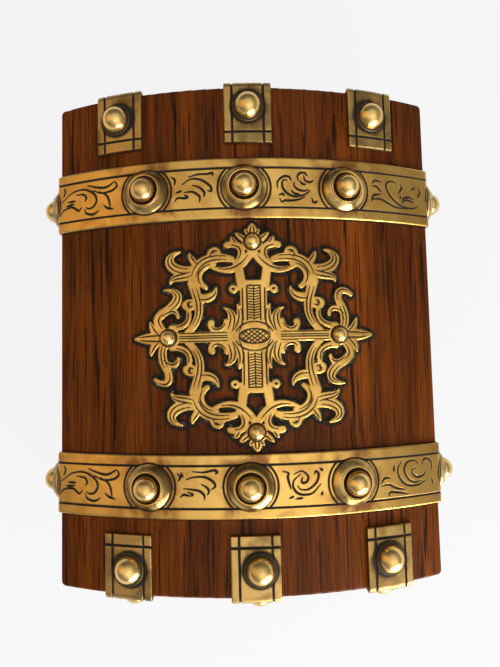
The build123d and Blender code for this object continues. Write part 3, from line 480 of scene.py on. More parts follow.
# %% [markdown]
# ## The straps
# A strap is cut from sheet, engraved flat, and then bent. Bending is only a change of place: a point that is
# s along the strap, w across it and h above the wood goes to the dome, round the corner, or down the
# rim, whichever s reaches.

# %% Bend a flat strap over the lid
corner_y = half_depth - edge_round
corner_z = dome_axis + math.sqrt((dome_radius - edge_round) ** 2 - corner_y**2)
corner_turn = math.asin(corner_y / (dome_radius - edge_round))
dome_end = (dome_radius + strap_sheet) * corner_turn
rim_start = dome_end + (edge_round + strap_sheet) * (math.pi / 2 - corner_turn)


def over_lid(s, w, h):
    """s is measured on the strap's face from the crest, positive to the back."""
    far = np.abs(s)
    on_dome, on_rim = far < dome_end, far > rim_start
    turn = np.where(on_dome, far / (dome_radius + strap_sheet),
                    np.where(on_rim, math.pi / 2, corner_turn + (far - dome_end) / (edge_round + strap_sheet)))
    y = np.where(on_dome, 0.0, corner_y) + (np.where(on_dome, dome_radius, edge_round) + h) * np.sin(turn)
    z = np.where(on_dome, dome_axis, corner_z) + (np.where(on_dome, dome_radius, edge_round) + h) * np.cos(turn)
    return w, np.sign(s) * y, z - np.maximum(far - rim_start, 0.0)


def s_at_height(z):
    """How far along the strap its rim is at height z."""
    return rim_start + corner_z - z


print(f"strap: dome ends at {dome_end:.1f}, rim starts at {rim_start:.1f}")

# %% [markdown]
# The face has a plain band along each edge, a cut line inside each band, and the engraved panels between.
# A cut ring goes round every stud. Polish is black in every cut, the edges are darker, and a ring of painted
# shade lies round the foot of each collar. A purple tarnish goes wherever a polishing cloth can't reach.

# %% The face of a strap
strap_half = 13.5
line_at = 8.9
ring_cut = 11.6
stud_arcs = (-44.5, 0.0, 43.4)


def strap_face(us, vs, studs, scrolls):
    """Height, black in the cuts with painted shade round the collars, and tarnish of a strap, for places us
    along it and vs across it.
    """
    u, v = us[:, None], vs[None, :]
    cut = np.full((len(us), len(vs)), 9.0)
    for middle, stretch, strokes in scrolls:
        for stroke in strokes:
            points = [(middle + stretch * along, across) for along, across in stroke]
            line = curve_through(points)
            carve(cut, us, vs, line, swelling(len(line)))
    for stud in studs:
        ring = np.abs(np.hypot(u - stud, v) - ring_cut) - 0.36
        cut = np.where(np.abs(v) < line_at, np.minimum(cut, ring), cut)
    lines = np.abs(np.abs(v) - line_at) - 0.42
    cut = np.minimum(cut, lines)
    height = strap_sheet - 0.42 * soft_step(cut, -0.4, 0.1)
    height -= rounded(strap_half - np.abs(v), 0.8)
    height -= rounded(np.minimum(u - us[0], us[-1] - u), 0.5)
    near_stud = np.min([np.hypot(u - stud, v) for stud in studs], 0)
    # black in the cuts, then a ring of painted shade round the foot of each collar
    grime = soft_step(cut, -0.08, 0.28) + 0.9 * soft_step(near_stud, 9.9, 10.9)
    # a darker band along both edges
    grime += 0.35 * soft_step(strap_half - np.abs(v), 0.0, 0.5)
    tarnish = 0.8 * soft_step(near_stud, 9.5, 16.0)
    tarnish = tarnish + 0.45 * (np.abs(v) > line_at) * soft_step(near_stud, 14.0, 26.0)
    return np.maximum(height, 0.3), np.clip(grime, 0, 1), tarnish + 0.0 * height


# %% Both straps of the lid
strap_end = s_at_height(closing_line + 1.5)
rim_stud = s_at_height(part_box("lid_stud_heads")[0].z / mm + 5.15)
lid_studs = [-rim_stud, *(place * (1 + strap_sheet / dome_radius) for place in stud_arcs), rim_stud]
strap_step = 0.27
along_lid = np.linspace(-strap_end, strap_end, round(2 * strap_end / strap_step))
across_strap = with_soft_edges(strap_half, strap_step, 0.8)
lid_strap_scrolls = {
    "left": ((72.5, -1.35, scroll_rim_back), (22.0, -1.12, scroll_wave), (-22.5, -1.1, scroll_spiral),
             (-73.0, -1.35, scroll_rim_front)),
    "right": ((72.5, -1.35, scroll_rim_back), (22.0, -1.15, scroll_leafy), (-22.5, -1.05, scroll_double),
              (-73.0, -1.35, scroll_shell)),
}


def strap_piece(name, along, studs, scrolls, bend, body, at_x):
    height, grime, tarnish = strap_face(along, across_strap, studs, scrolls)
    points, faces, extra = bent_sheet(lambda s, w, h: bend(s, w + at_x, h), along, across_strap, height)
    back = np.zeros(extra)
    return make_piece(name, points, faces, engraved_brass, "engraved_brass", body,
                      (name.replace("engraved_", ""),),
                      grime=np.concatenate([grime.ravel(), back + 0.8]),
                      tarnish=np.concatenate([tarnish.ravel(), back]))


for side, sign in (("left", -1), ("right", 1)):
    strap_piece(f"engraved_lid_strap_{side}", along_lid, lid_studs, lid_strap_scrolls[side], over_lid, "lid",
                sign * strap_x)

# %% [markdown]
# The straps carry on down the front and the back of the case. They are flat, so bending them is only
# standing them up.

# %% The four straps of the case
case_strap_low, case_strap_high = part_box("case_strap_front_left")
along_case = np.arange(case_strap_low.z / mm, case_strap_high.z / mm + 0.01, strap_step)
case_studs = [16.0, 56.0]
for face, turn in (("front", -1), ("back", 1)):
    def up_the_wall(s, w, h, turn=turn):
        return w, turn * (half_depth + h), s

    for side, sign in (("left", -1), ("right", 1)):
        scrolls = ((36.0, 1, scroll_leafy if side == "left" else scroll_wave),)
        strap_piece(f"engraved_case_strap_{face}_{side}", along_case, case_studs, scrolls, up_the_wall, "case",
                    sign * strap_x)

# %% [markdown]
# ## Studs
# The studs were turned on a lathe, and they are made the same way: a profile from the bottom to the top is
# swept round an axis. One profile serves for all studs of a kind, and each copy is stood on its place.

# %% A lathe
def turned(profile, sides=72):
    """Points and faces of a profile of (radius, height), which starts and ends on the axis."""
    profile = np.asarray(profile, float)
    angle = np.arange(sides) * 2 * math.pi / sides
    ring = np.stack([np.cos(angle), np.sin(angle)], 1)
    rings = [np.column_stack([r * ring, np.full(sides, z)]) for r, z in profile[1:-1]]
    points = np.concatenate([[(0, 0, profile[0][1])], *rings, [(0, 0, profile[-1][1])]])
    first = 1 + sides * np.arange(len(rings))[:, None] + np.arange(sides)
    after = np.roll(first, -1, axis=1)
    quads = np.stack([first[:-1], after[:-1], after[1:], first[1:]], -1).reshape(-1, 4).tolist()
    fans = [[0, b, a] for a, b in zip(first[0].tolist(), after[0].tolist())]
    fans += [[len(points) - 1, a, b] for a, b in zip(first[-1].tolist(), after[-1].tolist())]
    return points, quads + fans


def arc(start, middle, end, steps=12):
    """Points on the circle through three points, both ends included."""
    (ax, ay), (bx, by), (cx, cy) = start, middle, end
    d = 2 * (ax * (by - cy) + bx * (cy - ay) + cx * (ay - by))
    ux = ((ax**2 + ay**2) * (by - cy) + (bx**2 + by**2) * (cy - ay) + (cx**2 + cy**2) * (ay - by)) / d
    uy = ((ax**2 + ay**2) * (cx - bx) + (bx**2 + by**2) * (ax - cx) + (cx**2 + cy**2) * (bx - ax)) / d
    radius = math.hypot(ax - ux, ay - uy)
    low, high = math.atan2(ay - uy, ax - ux), math.atan2(cy - uy, cx - ux)
    turn = (high - low + math.pi) % (2 * math.pi) - math.pi
    return [(ux + radius * math.cos(low + turn * i / steps), uy + radius * math.sin(low + turn * i / steps))
            for i in range(steps + 1)]


def stand(points, where, up, east=(1.0, 0.0, 0.0)):
    """Stand points, drawn about the Z axis, on a place with its own up."""
    up, east = np.asarray(up, float), np.asarray(east, float)
    north = np.cross(up, east)
    return np.asarray(where) + points @ np.stack([east, north, up])


def stud_piece(name, profile, grime, frames, finish, slot, body, node, tarnish=None):
    """One node's studs as one piece; the two painters, given radius and height, paint each with grime and
    painted shade, and with tarnish and a painted dark reflection.
    """
    points, faces = turned(profile)
    radius, height = np.hypot(points[:, 0], points[:, 1]), points[:, 2]
    dirt_and_shade = grime(radius, height)
    brown = tarnish(radius, height) if tarnish else 0.0 * radius
    everything, all_faces = [], []
    for count, (where, up, east) in enumerate(frames):
        everything.append(stand(points, where, up, east))
        all_faces += [[corner + count * len(points) for corner in face] for face in faces]
    return make_piece(name, np.concatenate(everything), all_faces, finish, slot, body, (node,), sharp=32.0,
                      grime=np.tile(dirt_and_shade, len(frames)), tarnish=np.tile(brown, len(frames)))


# %% Where the studs stand
def on_dome(x, arc_length, lift):
    turn = arc_length / dome_radius
    up = (0.0, math.sin(turn), math.cos(turn))
    return (x, (dome_radius + lift) * up[1], dome_axis + (dome_radius + lift) * up[2]), up, (1.0, 0.0, 0.0)


def on_face(x, side, z, lift):
    return (x, side * (half_depth + lift), z), (0.0, float(side), 0.0), (1.0, 0.0, 0.0)


def on_end(side, y, z, lift):
    return (side * (half_length + lift), y, z), (float(side), 0.0, 0.0), (0.0, 1.0, 0.0)


rim_stud_height = corner_z + rim_start - rim_stud
lid_stud_frames, case_stud_frames = [], []
for sign in (-1, 1):
    lid_stud_frames += [on_dome(sign * strap_x, place, strap_sheet) for place in stud_arcs]
    lid_stud_frames += [on_face(sign * strap_x, side, rim_stud_height, strap_sheet) for side in (-1, 1)]
    case_stud_frames += [on_face(sign * strap_x, side, z, strap_sheet) for side in (-1, 1) for z in case_studs]
print(f"rim studs at {rim_stud_height:.1f}")

# %% [markdown]
# A strap stud is two pieces: a collar with a swelling side and a raised bead, and the ball head of the pin
# that sits in it. The gap between them is painted dark, as shade with some grime in it, and that dark ring is
# most of what makes them read.

# %% Collars and ball heads
collar = [(0, -0.35), (9.9, -0.35), (9.9, 0.8), (9.85, 1.1)]
collar += arc((9.7, 1.35), (8.6, 2.35), (7.45, 3.2), 10)
collar += [(7.32, 3.22), (7.2, 3.4)] + arc((7.14, 3.6), (6.83, 3.9), (6.52, 3.55), 8)
collar += [(6.36, 3.1), (6.1, 2.5), (5.6, 2.4), (0, 2.4)]
ball_radius, ball_centre = 5.4, 3.6
ball = [(0, 2.3), (5.0, 2.3), (5.2, 2.7), (5.34, 3.1)]
ball += arc((ball_radius, ball_centre),
            (ball_radius * math.sin(0.8), ball_centre + ball_radius * math.cos(0.8)),
            (0.0, ball_centre + ball_radius), 18)


def collar_grime(radius, height):
    # painted shade, with some grime, in the gap round the ball; grime in the groove by the bead; painted shade
    # at the foot
    inside = soft_step(radius, 6.2, 6.55)
    seam = 0.7 * soft_step(np.abs(radius - 7.3), 0.0, 0.16)
    foot = 0.9 * soft_step(height, 0.2, 1.2)
    return np.clip(inside + seam + foot, 0, 1)


def slope_tarnish(radius, height):
    # tarnish on the collar's slope, darkened as a painted reflection of a dark room
    return soft_step(np.abs(height - 2.1), 0.8, 1.4) * (radius > 7.2)


def ball_grime(radius, height):
    # painted shade on the ball's underside, down in the collar
    return soft_step(height, 2.7, 3.3)


for body, node, frames in (("lid", "lid_stud", lid_stud_frames), ("case", "case_stud", case_stud_frames)):
    stud_piece(f"turned_{node}_collars", collar, collar_grime, frames, turned_brass, "turned_brass", body,
               f"{node}_collars", slope_tarnish)
    stud_piece(f"turned_{node}_heads", ball, ball_grime, frames, turned_brass, "turned_brass", body,
               f"{node}_heads")

# %% [markdown]
# The tabs and the pierced mount are held by plain domed studs on a thin flange.

# %% Domed studs
def dome_height(y):
    return dome_axis + math.sqrt(dome_radius**2 - y**2)


def domed(radius, flange, rim, height):
    cap = height - rim
    sphere = (radius**2 + cap**2) / (2 * cap)
    lean = math.asin(min(1.0, radius / sphere)) / 2
    shoulder = (sphere * math.sin(lean), height - sphere + sphere * math.cos(lean))
    foot = [(0, -0.4), (flange, -0.4), (flange, 0.6 * rim), (flange - 0.3 * rim, rim), (radius + 0.06, rim)]
    return foot + arc(
        (radius, rim + 0.08), shoulder, (0.0, height), 14)


def domed_grime(radius, rim):
    # painted shade in a ring round the dome's foot and over the whole flange
    return lambda r, z: np.clip(0.9 * soft_step(np.abs(r - radius), 0.1, 0.5) * (z < rim + 0.6)
                                + 0.62 * soft_step(z, rim, rim + 0.3), 0, 1)


def arc_at(y):
    return dome_radius * math.asin(y / dome_radius)


# The tabs are listed one by one: side, name, middle along Y, its stud's step from that middle, and the
# stud's distance in from the end of the casket.
tab_table = (
    (-1, "left_front", -59.9, 0.9, 12.3), (-1, "left_middle", -1.4, -1.8, 12.0),
    (-1, "left_back", 53.1, -0.9, 11.5),
    (1, "right_front", -58.2, 0.5, 11.5), (1, "right_middle", -2.3, -0.1, 9.8),
    (1, "right_back", 55.7, 0.8, 11.4),
)
tab_stud_drop = 12.0   # from the top of a tab down to the stud on its end leg
tab_stud_frames = []
for side, _, y, step, inset in tab_table:
    tab_stud_frames.append(on_dome(side * (half_length - inset), arc_at(y + step), tab_sheet))
    tab_stud_frames.append(on_end(side, y + step, dome_height(y + step) - tab_stud_drop, tab_sheet))
mount_out, mount_up = 3.0, -0.7
mount_stud_frames = [on_dome(x + mount_up, arc_at(-mount_out), mount_sheet) for x in (-40.8, 40.8)]
mount_stud_frames += [on_dome(mount_up, arc_at(y - mount_out), mount_sheet) for y in (-36.8, 36.8)]
stud_piece("turned_tab_studs", domed(6.0, 6.9, 0.7, 5.9), domed_grime(6.0, 0.7), tab_stud_frames, turned_brass,
           "turned_brass", "lid", "tab_studs")
stud_piece("turned_mount_studs", domed(3.5, 4.1, 0.4, 3.6), domed_grime(3.5, 0.4), mount_stud_frames,
           turned_brass, "turned_brass", "lid", "mount_studs")

# %% [markdown]
# ## The tabs
# Six short straps are folded over the two ends. Each has two long cuts beside its edges and one cut across,
# near its inner end.

# %% Fold a tab over an end of the lid
tab_half = 10.5
tab_length = 26.0
tab_bend = (edge_round + tab_sheet) * math.pi / 2


def over_end(side):
    """u is measured on the tab's face from its inner end, v is the place along Y."""
    top = tab_length - edge_round

    def place(u, v, h):
        centre = dome_axis + np.sqrt((dome_radius - edge_round) ** 2 - v**2)
        face = dome_axis + np.sqrt((dome_radius + h) ** 2 - v**2)
        turn = np.clip((u - top) / (edge_round + tab_sheet), 0.0, math.pi / 2)
        x = half_length - edge_round + np.minimum(u - top, 0.0) + (edge_round + h) * np.sin(turn)
        z = centre + (face - centre) * np.cos(turn) - np.maximum(u - top - tab_bend, 0.0)
        return side * x, v, z

    return place


def tab_face(us, vs, stud_places):
    u, v = us[:, None], vs[None, :]
    long_cuts = np.abs(np.abs(v) - 6.9) - 0.5
    cross_cut = np.abs(u - 4.9) - 0.55
    cut = np.minimum(long_cuts, cross_cut)
    height = tab_sheet - 0.62 * soft_step(cut, -0.5, 0.12)
    height = height - rounded(tab_half - np.abs(v), 0.6) - rounded(np.minimum(u, us[-1] - u), 0.6)
    near = np.min([np.hypot(u - place, v - step) for place, step in stud_places], 0)
    # black in the cuts, a ring of painted shade round each stud's foot, and darker along the edges
    grime = soft_step(cut, -0.2, 0.25) + 0.8 * soft_step(near, 7.0, 9.2)
    grime += 0.4 * soft_step(tab_half - np.abs(v), 0.0, 0.6)
    return height, np.clip(grime, 0, 1), 0.8 * soft_step(near, 6.5, 12.0)


for side, name, y, step, inset in tab_table:
    leg = dome_axis + math.sqrt((dome_radius - edge_round) ** 2 - y**2) - (dome_height(y) - tab_length)
    total = tab_length - edge_round + tab_bend + leg
    along = np.linspace(0.0, total, round(total / (0.35)))
    across = with_soft_edges(tab_half, 0.4, 0.6)
    end_stud = total - (dome_height(y) - dome_height(y + step)) - tab_length + tab_stud_drop
    height, grime, tarnish = tab_face(along, across, ((tab_length - inset, step), (end_stud, step)))
    points, faces, extra = bent_sheet(over_end(side), along, across + y, height)
    make_piece(f"folded_tab_{name}", points, faces, sheet_brass, "sheet_brass", "lid", (f"tab_{name}",),
               grime=np.concatenate([grime.ravel(), np.full(extra, 0.8)]),
               tarnish=np.concatenate([tarnish.ravel(), np.zeros(extra)]))

# %% [markdown]
# ## The pierced mount
# The mount is sawn out of sheet and engraved. A leaf is a curve with a width that swells, so its outline is
# once more a distance, and the nearest of all leaves gives the outline of the whole. The pattern is drawn
# for one quarter, (out to a side stud, up to an end stud), and mirrored twice.

# %% The leaves of one quarter: four points of each curve, then its half-widths
quarter_leaves = (
    (((2, 0), (12, 0), (24, 0), (36, 0)), (2.4, 2.4, 2.4)),
    (((0, 0), (3, 0), (6, 0), (9.5, 0)), (6.3, 5.4, 2.4)),
    (((4.6, 21), (5.4, 24), (5.8, 27), (6.0, 30)), (2.2, 2.1, 1.9)),
    (((0.5, 36.5), (4, 31), (9, 26.2), (18.2, 30.2)), (1.7, 1.8, 0.8)),
    (((11.2, 39.6), (4.6, 41.2), (2.6, 35.6), (7.6, 31.4)), (1.5, 1.7, 1.3)),
    (((7.6, 40), (8, 41.2), (8.6, 42), (9.2, 42.8)), (1.2, 1.3, 0.6)),
    (((2.5, 41), (4.2, 42.2), (5.6, 43.4), (6.9, 44.6)), (1.0, 1.4, 0.6)),
    (((0, 41), (0, 44), (0, 46.6), (0, 48.6)), (2.4, 2.5, 0.5)),
    (((1.2, 44), (2, 44.6), (2.6, 45.2), (2.9, 46.2)), (1.0, 1.0, 0.5)),
    (((9.2, 33.4), (16.5, 35.4), (26.3, 34), (25.8, 22.5)), (1.6, 2.4, 2.4)),
    (((26, 23.5), (24.4, 16.5), (20.3, 9.5), (28.6, 2.2)), (2.5, 2.0, 1.6)),
    (((18.8, 34.4), (18.6, 37.6), (15.6, 38.9), (14.6, 36.2)), (1.3, 1.5, 1.1)),
    (((16.5, 31.4), (23, 31.2), (26, 25), (20.6, 21.4)), (0.9, 1.5, 1.2)),
    (((24.5, 17.2), (20.5, 15.8), (16.2, 17.2), (16.0, 21.4)), (2.0, 1.9, 0.4)),
    (((26.3, 14.4), (27.3, 14.1), (28.0, 14.0), (28.8, 13.9)), (2.2, 2.7, 2.3)),
    (((28.4, 12.6), (26.6, 7), (30, 4), (35.6, 4.2)), (1.2, 1.3, 1.5)),
    (((25, 29.2), (35.5, 27), (40.5, 35.5), (31.6, 37.4)), (2.2, 2.3, 0.6)),
    (((24.6, 31.2), (25.5, 33), (27, 34.2), (27.3, 36.4)), (1.5, 1.5, 0.6)),
    (((25.5, 28.2), (30, 25.6), (35, 27.4), (36, 23.6)), (2.1, 2.0, 0.5)),
    (((40.4, 8.6), (37.6, 12.6), (33, 13), (32.8, 8.8)), (1.1, 1.3, 0.8)),
    (((37, 0), (42, 0), (47, 0), (51.9, 0)), (2.4, 2.7, 0.6)),
    (((40.6, 0.8), (43.4, 2.2), (44.4, 4.4), (45, 7.2)), (1.6, 1.6, 0.5)),
    (((8.6, 1), (6.2, 4.6), (4.6, 8.6), (6.8, 13.6)), (2.8, 2.3, 0.6)),
    (((11, 1.6), (9.2, 5.4), (7.8, 10.4), (12.6, 12.2)), (2.4, 2.1, 0.5)),
    (((12.2, 6.8), (11.8, 2.2), (19.6, 1.2), (18.4, 6.0)), (1.0, 1.2, 1.6)),
)
open_leaves = (
    (((38.8, 2.8), (43, 6.5), (43, 9.5), (37.7, 12)), (1.6, 1.9, 1.9)),
    (((38, 11.9), (32.5, 14.5), (29.5, 20.5), (38.6, 21)), (1.9, 2.1, 0.5)),
)
closed_leaves = (
    (((38.6, 2.6), (41, 6.5), (39.5, 10.5), (37.8, 14)), (1.8, 2.0, 1.7)),
    (((37.8, 13.8), (35.6, 18.6), (38.6, 21.6), (43, 17.8)), (1.7, 1.7, 1.0)),
)


def leaf_line(points, radii, steps=34):
    """Points along a leaf's middle, and its half-width at each."""
    t = np.linspace(0, 1, steps)[:, None]
    a, b, c, d = np.asarray(points, float)
    line = a * (1 - t) ** 3 + 3 * b * t * (1 - t) ** 2 + 3 * c * t**2 * (1 - t) + d * t**3
    start, middle, tip = radii
    t = t[:, 0]
    return line, start * (1 - t) ** 2 + (4 * middle - start - tip) * t * (1 - t) + tip * t**2


# %% The outline of the mount as a distance, on a fine grid of one quarter
grain = 0.33
out_places = np.arange(0.0, 56.0, grain)
up_places = np.arange(0.0, 53.0, grain)
out_grid, up_grid = out_places[:, None], up_places[None, :]


def box_distance(x, y, x0, x1, y0, y1):
    dx, dy = np.maximum(x0 - x, x - x1), np.maximum(y0 - y, y - y1)
    return np.hypot(np.maximum(dx, 0), np.maximum(dy, 0)) + np.minimum(np.maximum(dx, dy), 0)


def quarter_outline(leaves):
    field = np.full((len(out_places), len(up_places)), 6.0)
    for points, radii in leaves:
        line, half = leaf_line(points, radii)
        carve(field, out_places, up_places, line, half, reach=6.5)
    for more in (box_distance(out_grid, up_grid, -9.0, 5.9, 0.0, 24.4),
                 np.hypot(out_grid - 8.7, up_grid - 20.4) - 2.0,
                 box_distance(out_grid, up_grid, 5.0, 8.7, 19.5, 21.3),
                 np.hypot(out_grid - 36.8, up_grid) - 4.5,
                 np.hypot(out_grid, up_grid - 40.8) - 4.5):
        field = np.minimum(field, more)
    return field


# %% [markdown]
# The engraving on the mount follows its shapes: a line down every leaf and one along its edge, an eye with
# a lattice in the middle, two feathered bars above and below it, and double lines along the arms.

# %% The cuts on one quarter
def quarter_cuts(leaves, outline):
    field = np.full_like(outline, 6.0)

    def cut_line(points, thin=0.14, thick=0.28, smooth=True):
        line = curve_through(points) if smooth else np.asarray(points, float)
        carve(field, out_places, up_places, line, swelling(len(line), thin, thick, 1.0))

    for points, radii in leaves[3:]:
        line, half = leaf_line(points, radii, 80)
        inner = slice(8, -10)
        heading = np.gradient(line, axis=0)
        normal = np.stack([-heading[:, 1], heading[:, 0]], 1) / np.linalg.norm(heading, axis=1)[:, None]
        for shift in ((0.42, -0.36) if radii[1] >= 2.0 else (0.25,)):
            vein = (line + normal * (shift * half)[:, None])[inner]
            carve(field, out_places, up_places, vein, swelling(len(vein), 0.12, 0.27, 1.1))
    quarter_turn = np.linspace(0, math.pi / 2, 60)
    cut_line([(6.6 * math.cos(a), 3.1 * math.sin(a)) for a in quarter_turn], 0.22, 0.3, smooth=False)
    cut_line([(8.3 * math.cos(a), 6.2 * math.sin(a)) for a in quarter_turn[12:]], 0.18, 0.28, smooth=False)
    for start, end in (((0, 0.9), (1.2, 0)), ((0, 2.7), (3.6, 0)), ((1.2, 0), (4.2, 2.25)),
                       ((3.6, 0), (5.3, 1.3)),
                       ((0, 0.9), (2.6, 2.85)), ((3.2, 2.35), (5.9, 0.3))):
        cut_line((start, end), 0.15, 0.18)
    for line in (((2.9, 6.8), (2.9, 21.8)), ((0, 21.8), (2.9, 21.8)), ((4.6, 7.2), (4.9, 20.6))):
        cut_line(line, 0.22, 0.26)
    cut_line(((0, 7), (0, 21.6)), 0.2, 0.22)
    for rung in np.arange(7.6, 21.4, 1.15):
        cut_line(((0.3, rung), (2.5, rung + 0.45)), 0.14, 0.2)
    for height in (0.45, 1.75):
        cut_line(((11.5, height), (32.4, height)), 0.15, 0.18)
    for x, y in ((8.7, 20.4), (28.2, 14.0), (17.0, 36.8)):
        carve(field, out_places, up_places, np.array([(x - 0.15, y), (x + 0.3, y + 0.1)]), np.array([0.5, 0.4]))
    return np.where(outline > -0.12, 6.0, field)


# %% [markdown]
# A grid only fits the outline in steps, so each square that the outline crosses is cut along it. There are
# sixteen ways for an outline to cross a square, and the table of them is worked out by walking round it.

# %% Cut a grid along an outline
def four_quarters(closed, opened):
    """The whole pattern from its two kinds of quarter; like kinds lie opposite each other."""
    right = np.concatenate([opened[:, :0:-1], closed], axis=1)
    left = np.concatenate([closed[:, :0:-1], opened], axis=1)
    return np.concatenate([left[:0:-1], right])


def sawn_out(xs, ys, field, **layers):
    """Faces of a grid where field is below 0, cut along the 0 line, with layers carried to the points."""
    nx, ny = field.shape
    count = nx * ny
    inside = field < 0
    corners = [inside[:-1, :-1], inside[1:, :-1], inside[1:, 1:], inside[:-1, 1:]]
    kind = sum(corner.astype(int) << k for k, corner in enumerate(corners))
    grid = np.arange(count).reshape(nx, ny)
    ids = [grid[:-1, :-1], grid[1:, :-1], grid[1:, 1:], grid[:-1, 1:],
           count + grid[:-1, :-1], 2 * count + grid[1:, :-1], count + grid[:-1, 1:], 2 * count + grid[:-1, :-1]]
    faces, rim = [], []
    for case in range(1, 16):
        walk = []
        for k in range(4):
            if case >> k & 1:
                walk.append(k)
            if (case >> k & 1) != (case >> (k + 1) % 4 & 1):
                walk.append(4 + k)
        here = kind == case
        if not here.any():
            continue
        table = np.stack([ids[k][here] for k in walk], -1)
        faces += table.tolist()
        for n, k in enumerate(walk):
            m = (n + 1) % len(walk)
            if k >= 4 and walk[m] >= 4 and case >> (k - 4) & 1:
                rim += np.stack([table[:, n], table[:, m]], -1).tolist()
    used = np.unique(np.concatenate([np.asarray(face) for face in faces]))
    order = np.full(3 * count, -1)
    order[used] = np.arange(len(used))
    x, y = np.meshgrid(xs, ys, indexing="ij")
    carried = {}
    along_x, along_y = (field, np.roll(field, -1, 0)), (field, np.roll(field, -1, 1))
    share = [a / np.where(a - b == 0, 1.0, a - b) for a, b in (along_x, along_y)]
    for key, layer in {"x": x, "y": y, **layers}.items():
        steps = [layer + share[axis] * (np.roll(layer, -1, axis) - layer) for axis in (0, 1)]
        carried[key] = np.concatenate([layer.ravel(), steps[0].ravel(), steps[1].ravel()])[used]
    return [order[face].tolist() for face in faces], order[np.asarray(rim)], carried


def close_below(faces, rim, points):
    """Walls down from the rim, and a flat back that repeats the face."""
    count = len(points)
    walls = [[int(b), int(a), count + int(a), count + int(b)] for a, b in rim]
    back = [[count + corner for corner in reversed(face)] for face in faces]
    return faces + walls + back, np.concatenate([points, points * (1, 1, 0)])


# %% The mount, sawn flat and bent over the dome
closed_outline = quarter_outline(quarter_leaves + closed_leaves)
opened_outline = quarter_outline(quarter_leaves + open_leaves)
whole_outline = four_quarters(closed_outline, opened_outline)
whole_cut = four_quarters(quarter_cuts(quarter_leaves + closed_leaves, closed_outline),
                          quarter_cuts(quarter_leaves + open_leaves, opened_outline))
sides = np.concatenate([-out_places[:0:-1], out_places])
ups = np.concatenate([-up_places[:0:-1], up_places])
mount_height = mount_sheet - rounded(-whole_outline, 0.5) - 0.3 * soft_step(whole_cut, -0.26, 0.08)
# black in the cuts, and darker along the sawn edges
mount_grime = soft_step(whole_cut, -0.08, 0.2) + 0.35 * soft_step(-whole_outline, 0.0, 0.3)
faces, rim, flat = sawn_out(sides, ups, whole_outline, height=mount_height, grime=np.clip(mount_grime, 0, 1))


def mount_place(out, up, height):
    """Flat places over the dome: out goes to the front, and up to the right end."""
    y = -out - mount_out
    face = np.sqrt((dome_radius + height) ** 2 - y**2)
    return np.stack([up + mount_up, y, dome_axis + face], -1)


flat_points = np.stack([flat["x"], flat["y"], flat["height"]], -1)
faces, points = close_below(faces, rim, flat_points)
bent = mount_place(points[:, 0], points[:, 1], points[:, 2])
grime = np.concatenate([flat["grime"], np.ones(len(flat_points))])
mount = make_piece("engraved_mount", bent, faces, engraved_brass, "engraved_brass", "lid", ("pierced_mount",),
                   sharp=50.0, grime=grime, tarnish=0.0 * grime)

# %% [markdown]
# ## Old polish and shadow
# Where a cloth has pushed polish against the brass for a century, a dark crust with pale flecks has built
# up on the wood. It is one thin skin that fades out away from the metal, and it is also a painted shadow:
# it darkens the wood along the brass edges and inside the mount's piercings, where shade falls.

# %% The recipe of crust with painted shadow, and the skin round the mount
def crust_and_shadow_finish(name):
    # dark crust and painted shadow in one, fading out away from the metal
    r = Recipe(name)
    fade = r.painted("fade")
    lumps = r.noise(420.0, detail=5.0, rough=0.7)
    flecks = r.noise(420.0, detail=5.0, rough=0.7).between(0.54, 0.64) * fade.between(0.6, 0.9)
    green = r.noise(130.0, detail=3.0).between(0.45, 0.62) * 0.6
    tone = r.blend(green, colour(16, 13, 8), colour(28, 40, 30))
    return r.finish({
        "Base Color": r.blend(flecks * 0.6, tone, colour(150, 162, 142)),
        "Roughness": 0.6 + lumps * 0.2,
        "Alpha": (fade + lumps * 0.7 - 0.35).between(0.1, 0.75) * 0.88,
        "Normal": r.bump(lumps, 0.5, 0.0002),
        "Specular IOR Level": 0.3,
    })


crust_and_shadow = crust_and_shadow_finish("crust_and_shadow")
skin_width = 2.5
# crust and painted shadow round the mount and inside its piercings
skin = np.maximum(whole_outline - skin_width, -whole_outline - 0.5)
near_metal = 1.0 - np.clip(whole_outline / skin_width, 0, 1)
faces, rim, flat = sawn_out(sides, ups, skin, fade=near_metal)
flat_points = np.stack([flat["x"], flat["y"], 0.06 + 0 * flat["x"]], -1)
faces, points = close_below(faces, rim, flat_points)
fade = np.concatenate([flat["fade"], np.zeros(len(flat_points))])
make_piece("crust_and_shadow_mount", mount_place(points[:, 0], points[:, 1], points[:, 2] + 0.02),
           faces, crust_and_shadow,
           "rosewood", "lid", sharp=50.0, fade=fade)

# %% Crust and painted shadow along the straps
for side, sign in (("left", -1), ("right", 1)):
    for edge, turn in (("inner", -1), ("outer", 1)):
        ws = np.linspace(0.0, 1.4, 8)
        us = np.linspace(-rim_start, rim_start, 420)
        start = sign * strap_x + turn * strap_half
        points, faces, extra = bent_sheet(lambda s, w, h: over_lid(s, start + turn * (w - 0.3), h), us, ws,
                                          np.full((len(us), len(ws)), 0.07))
        fade = np.concatenate([np.tile(1.0 - ws / 1.4, len(us)), np.zeros(extra)])
        make_piece(f"polish_crust_strap_{side}_{edge}", points, faces, crust_and_shadow, "rosewood", "lid",
                   fade=0.75 * fade)

# %% [markdown]
# ## The lining
# The walls are lined with card that has velvet drawn over it, so each panel is a stiff board with soft round
# edges and a face that swells a little. A board is the same bent sheet again, thicker and rounder.

# %% Velvet over card
def edge_distance(along, across):
    u, v = along[:, None], across[None, :]
    return np.minimum(np.minimum(u - along[0], along[-1] - u), np.minimum(v - across[0], across[-1] - v))


def soft_piece(name, node, place, along, across, height, finish, slot, body, stitch=0.0):
    points, faces, extra = bent_sheet(place, along, across, height)
    shade = np.concatenate([(stitch + 0.0 * height).ravel(), np.zeros(extra)])
    piece = make_piece(name, points, faces, finish, slot, body, (node,), sharp=60.0, stitch=shade)
    return piece


def box_mm(node):
    return [[value / mm for value in corner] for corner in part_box(node)]


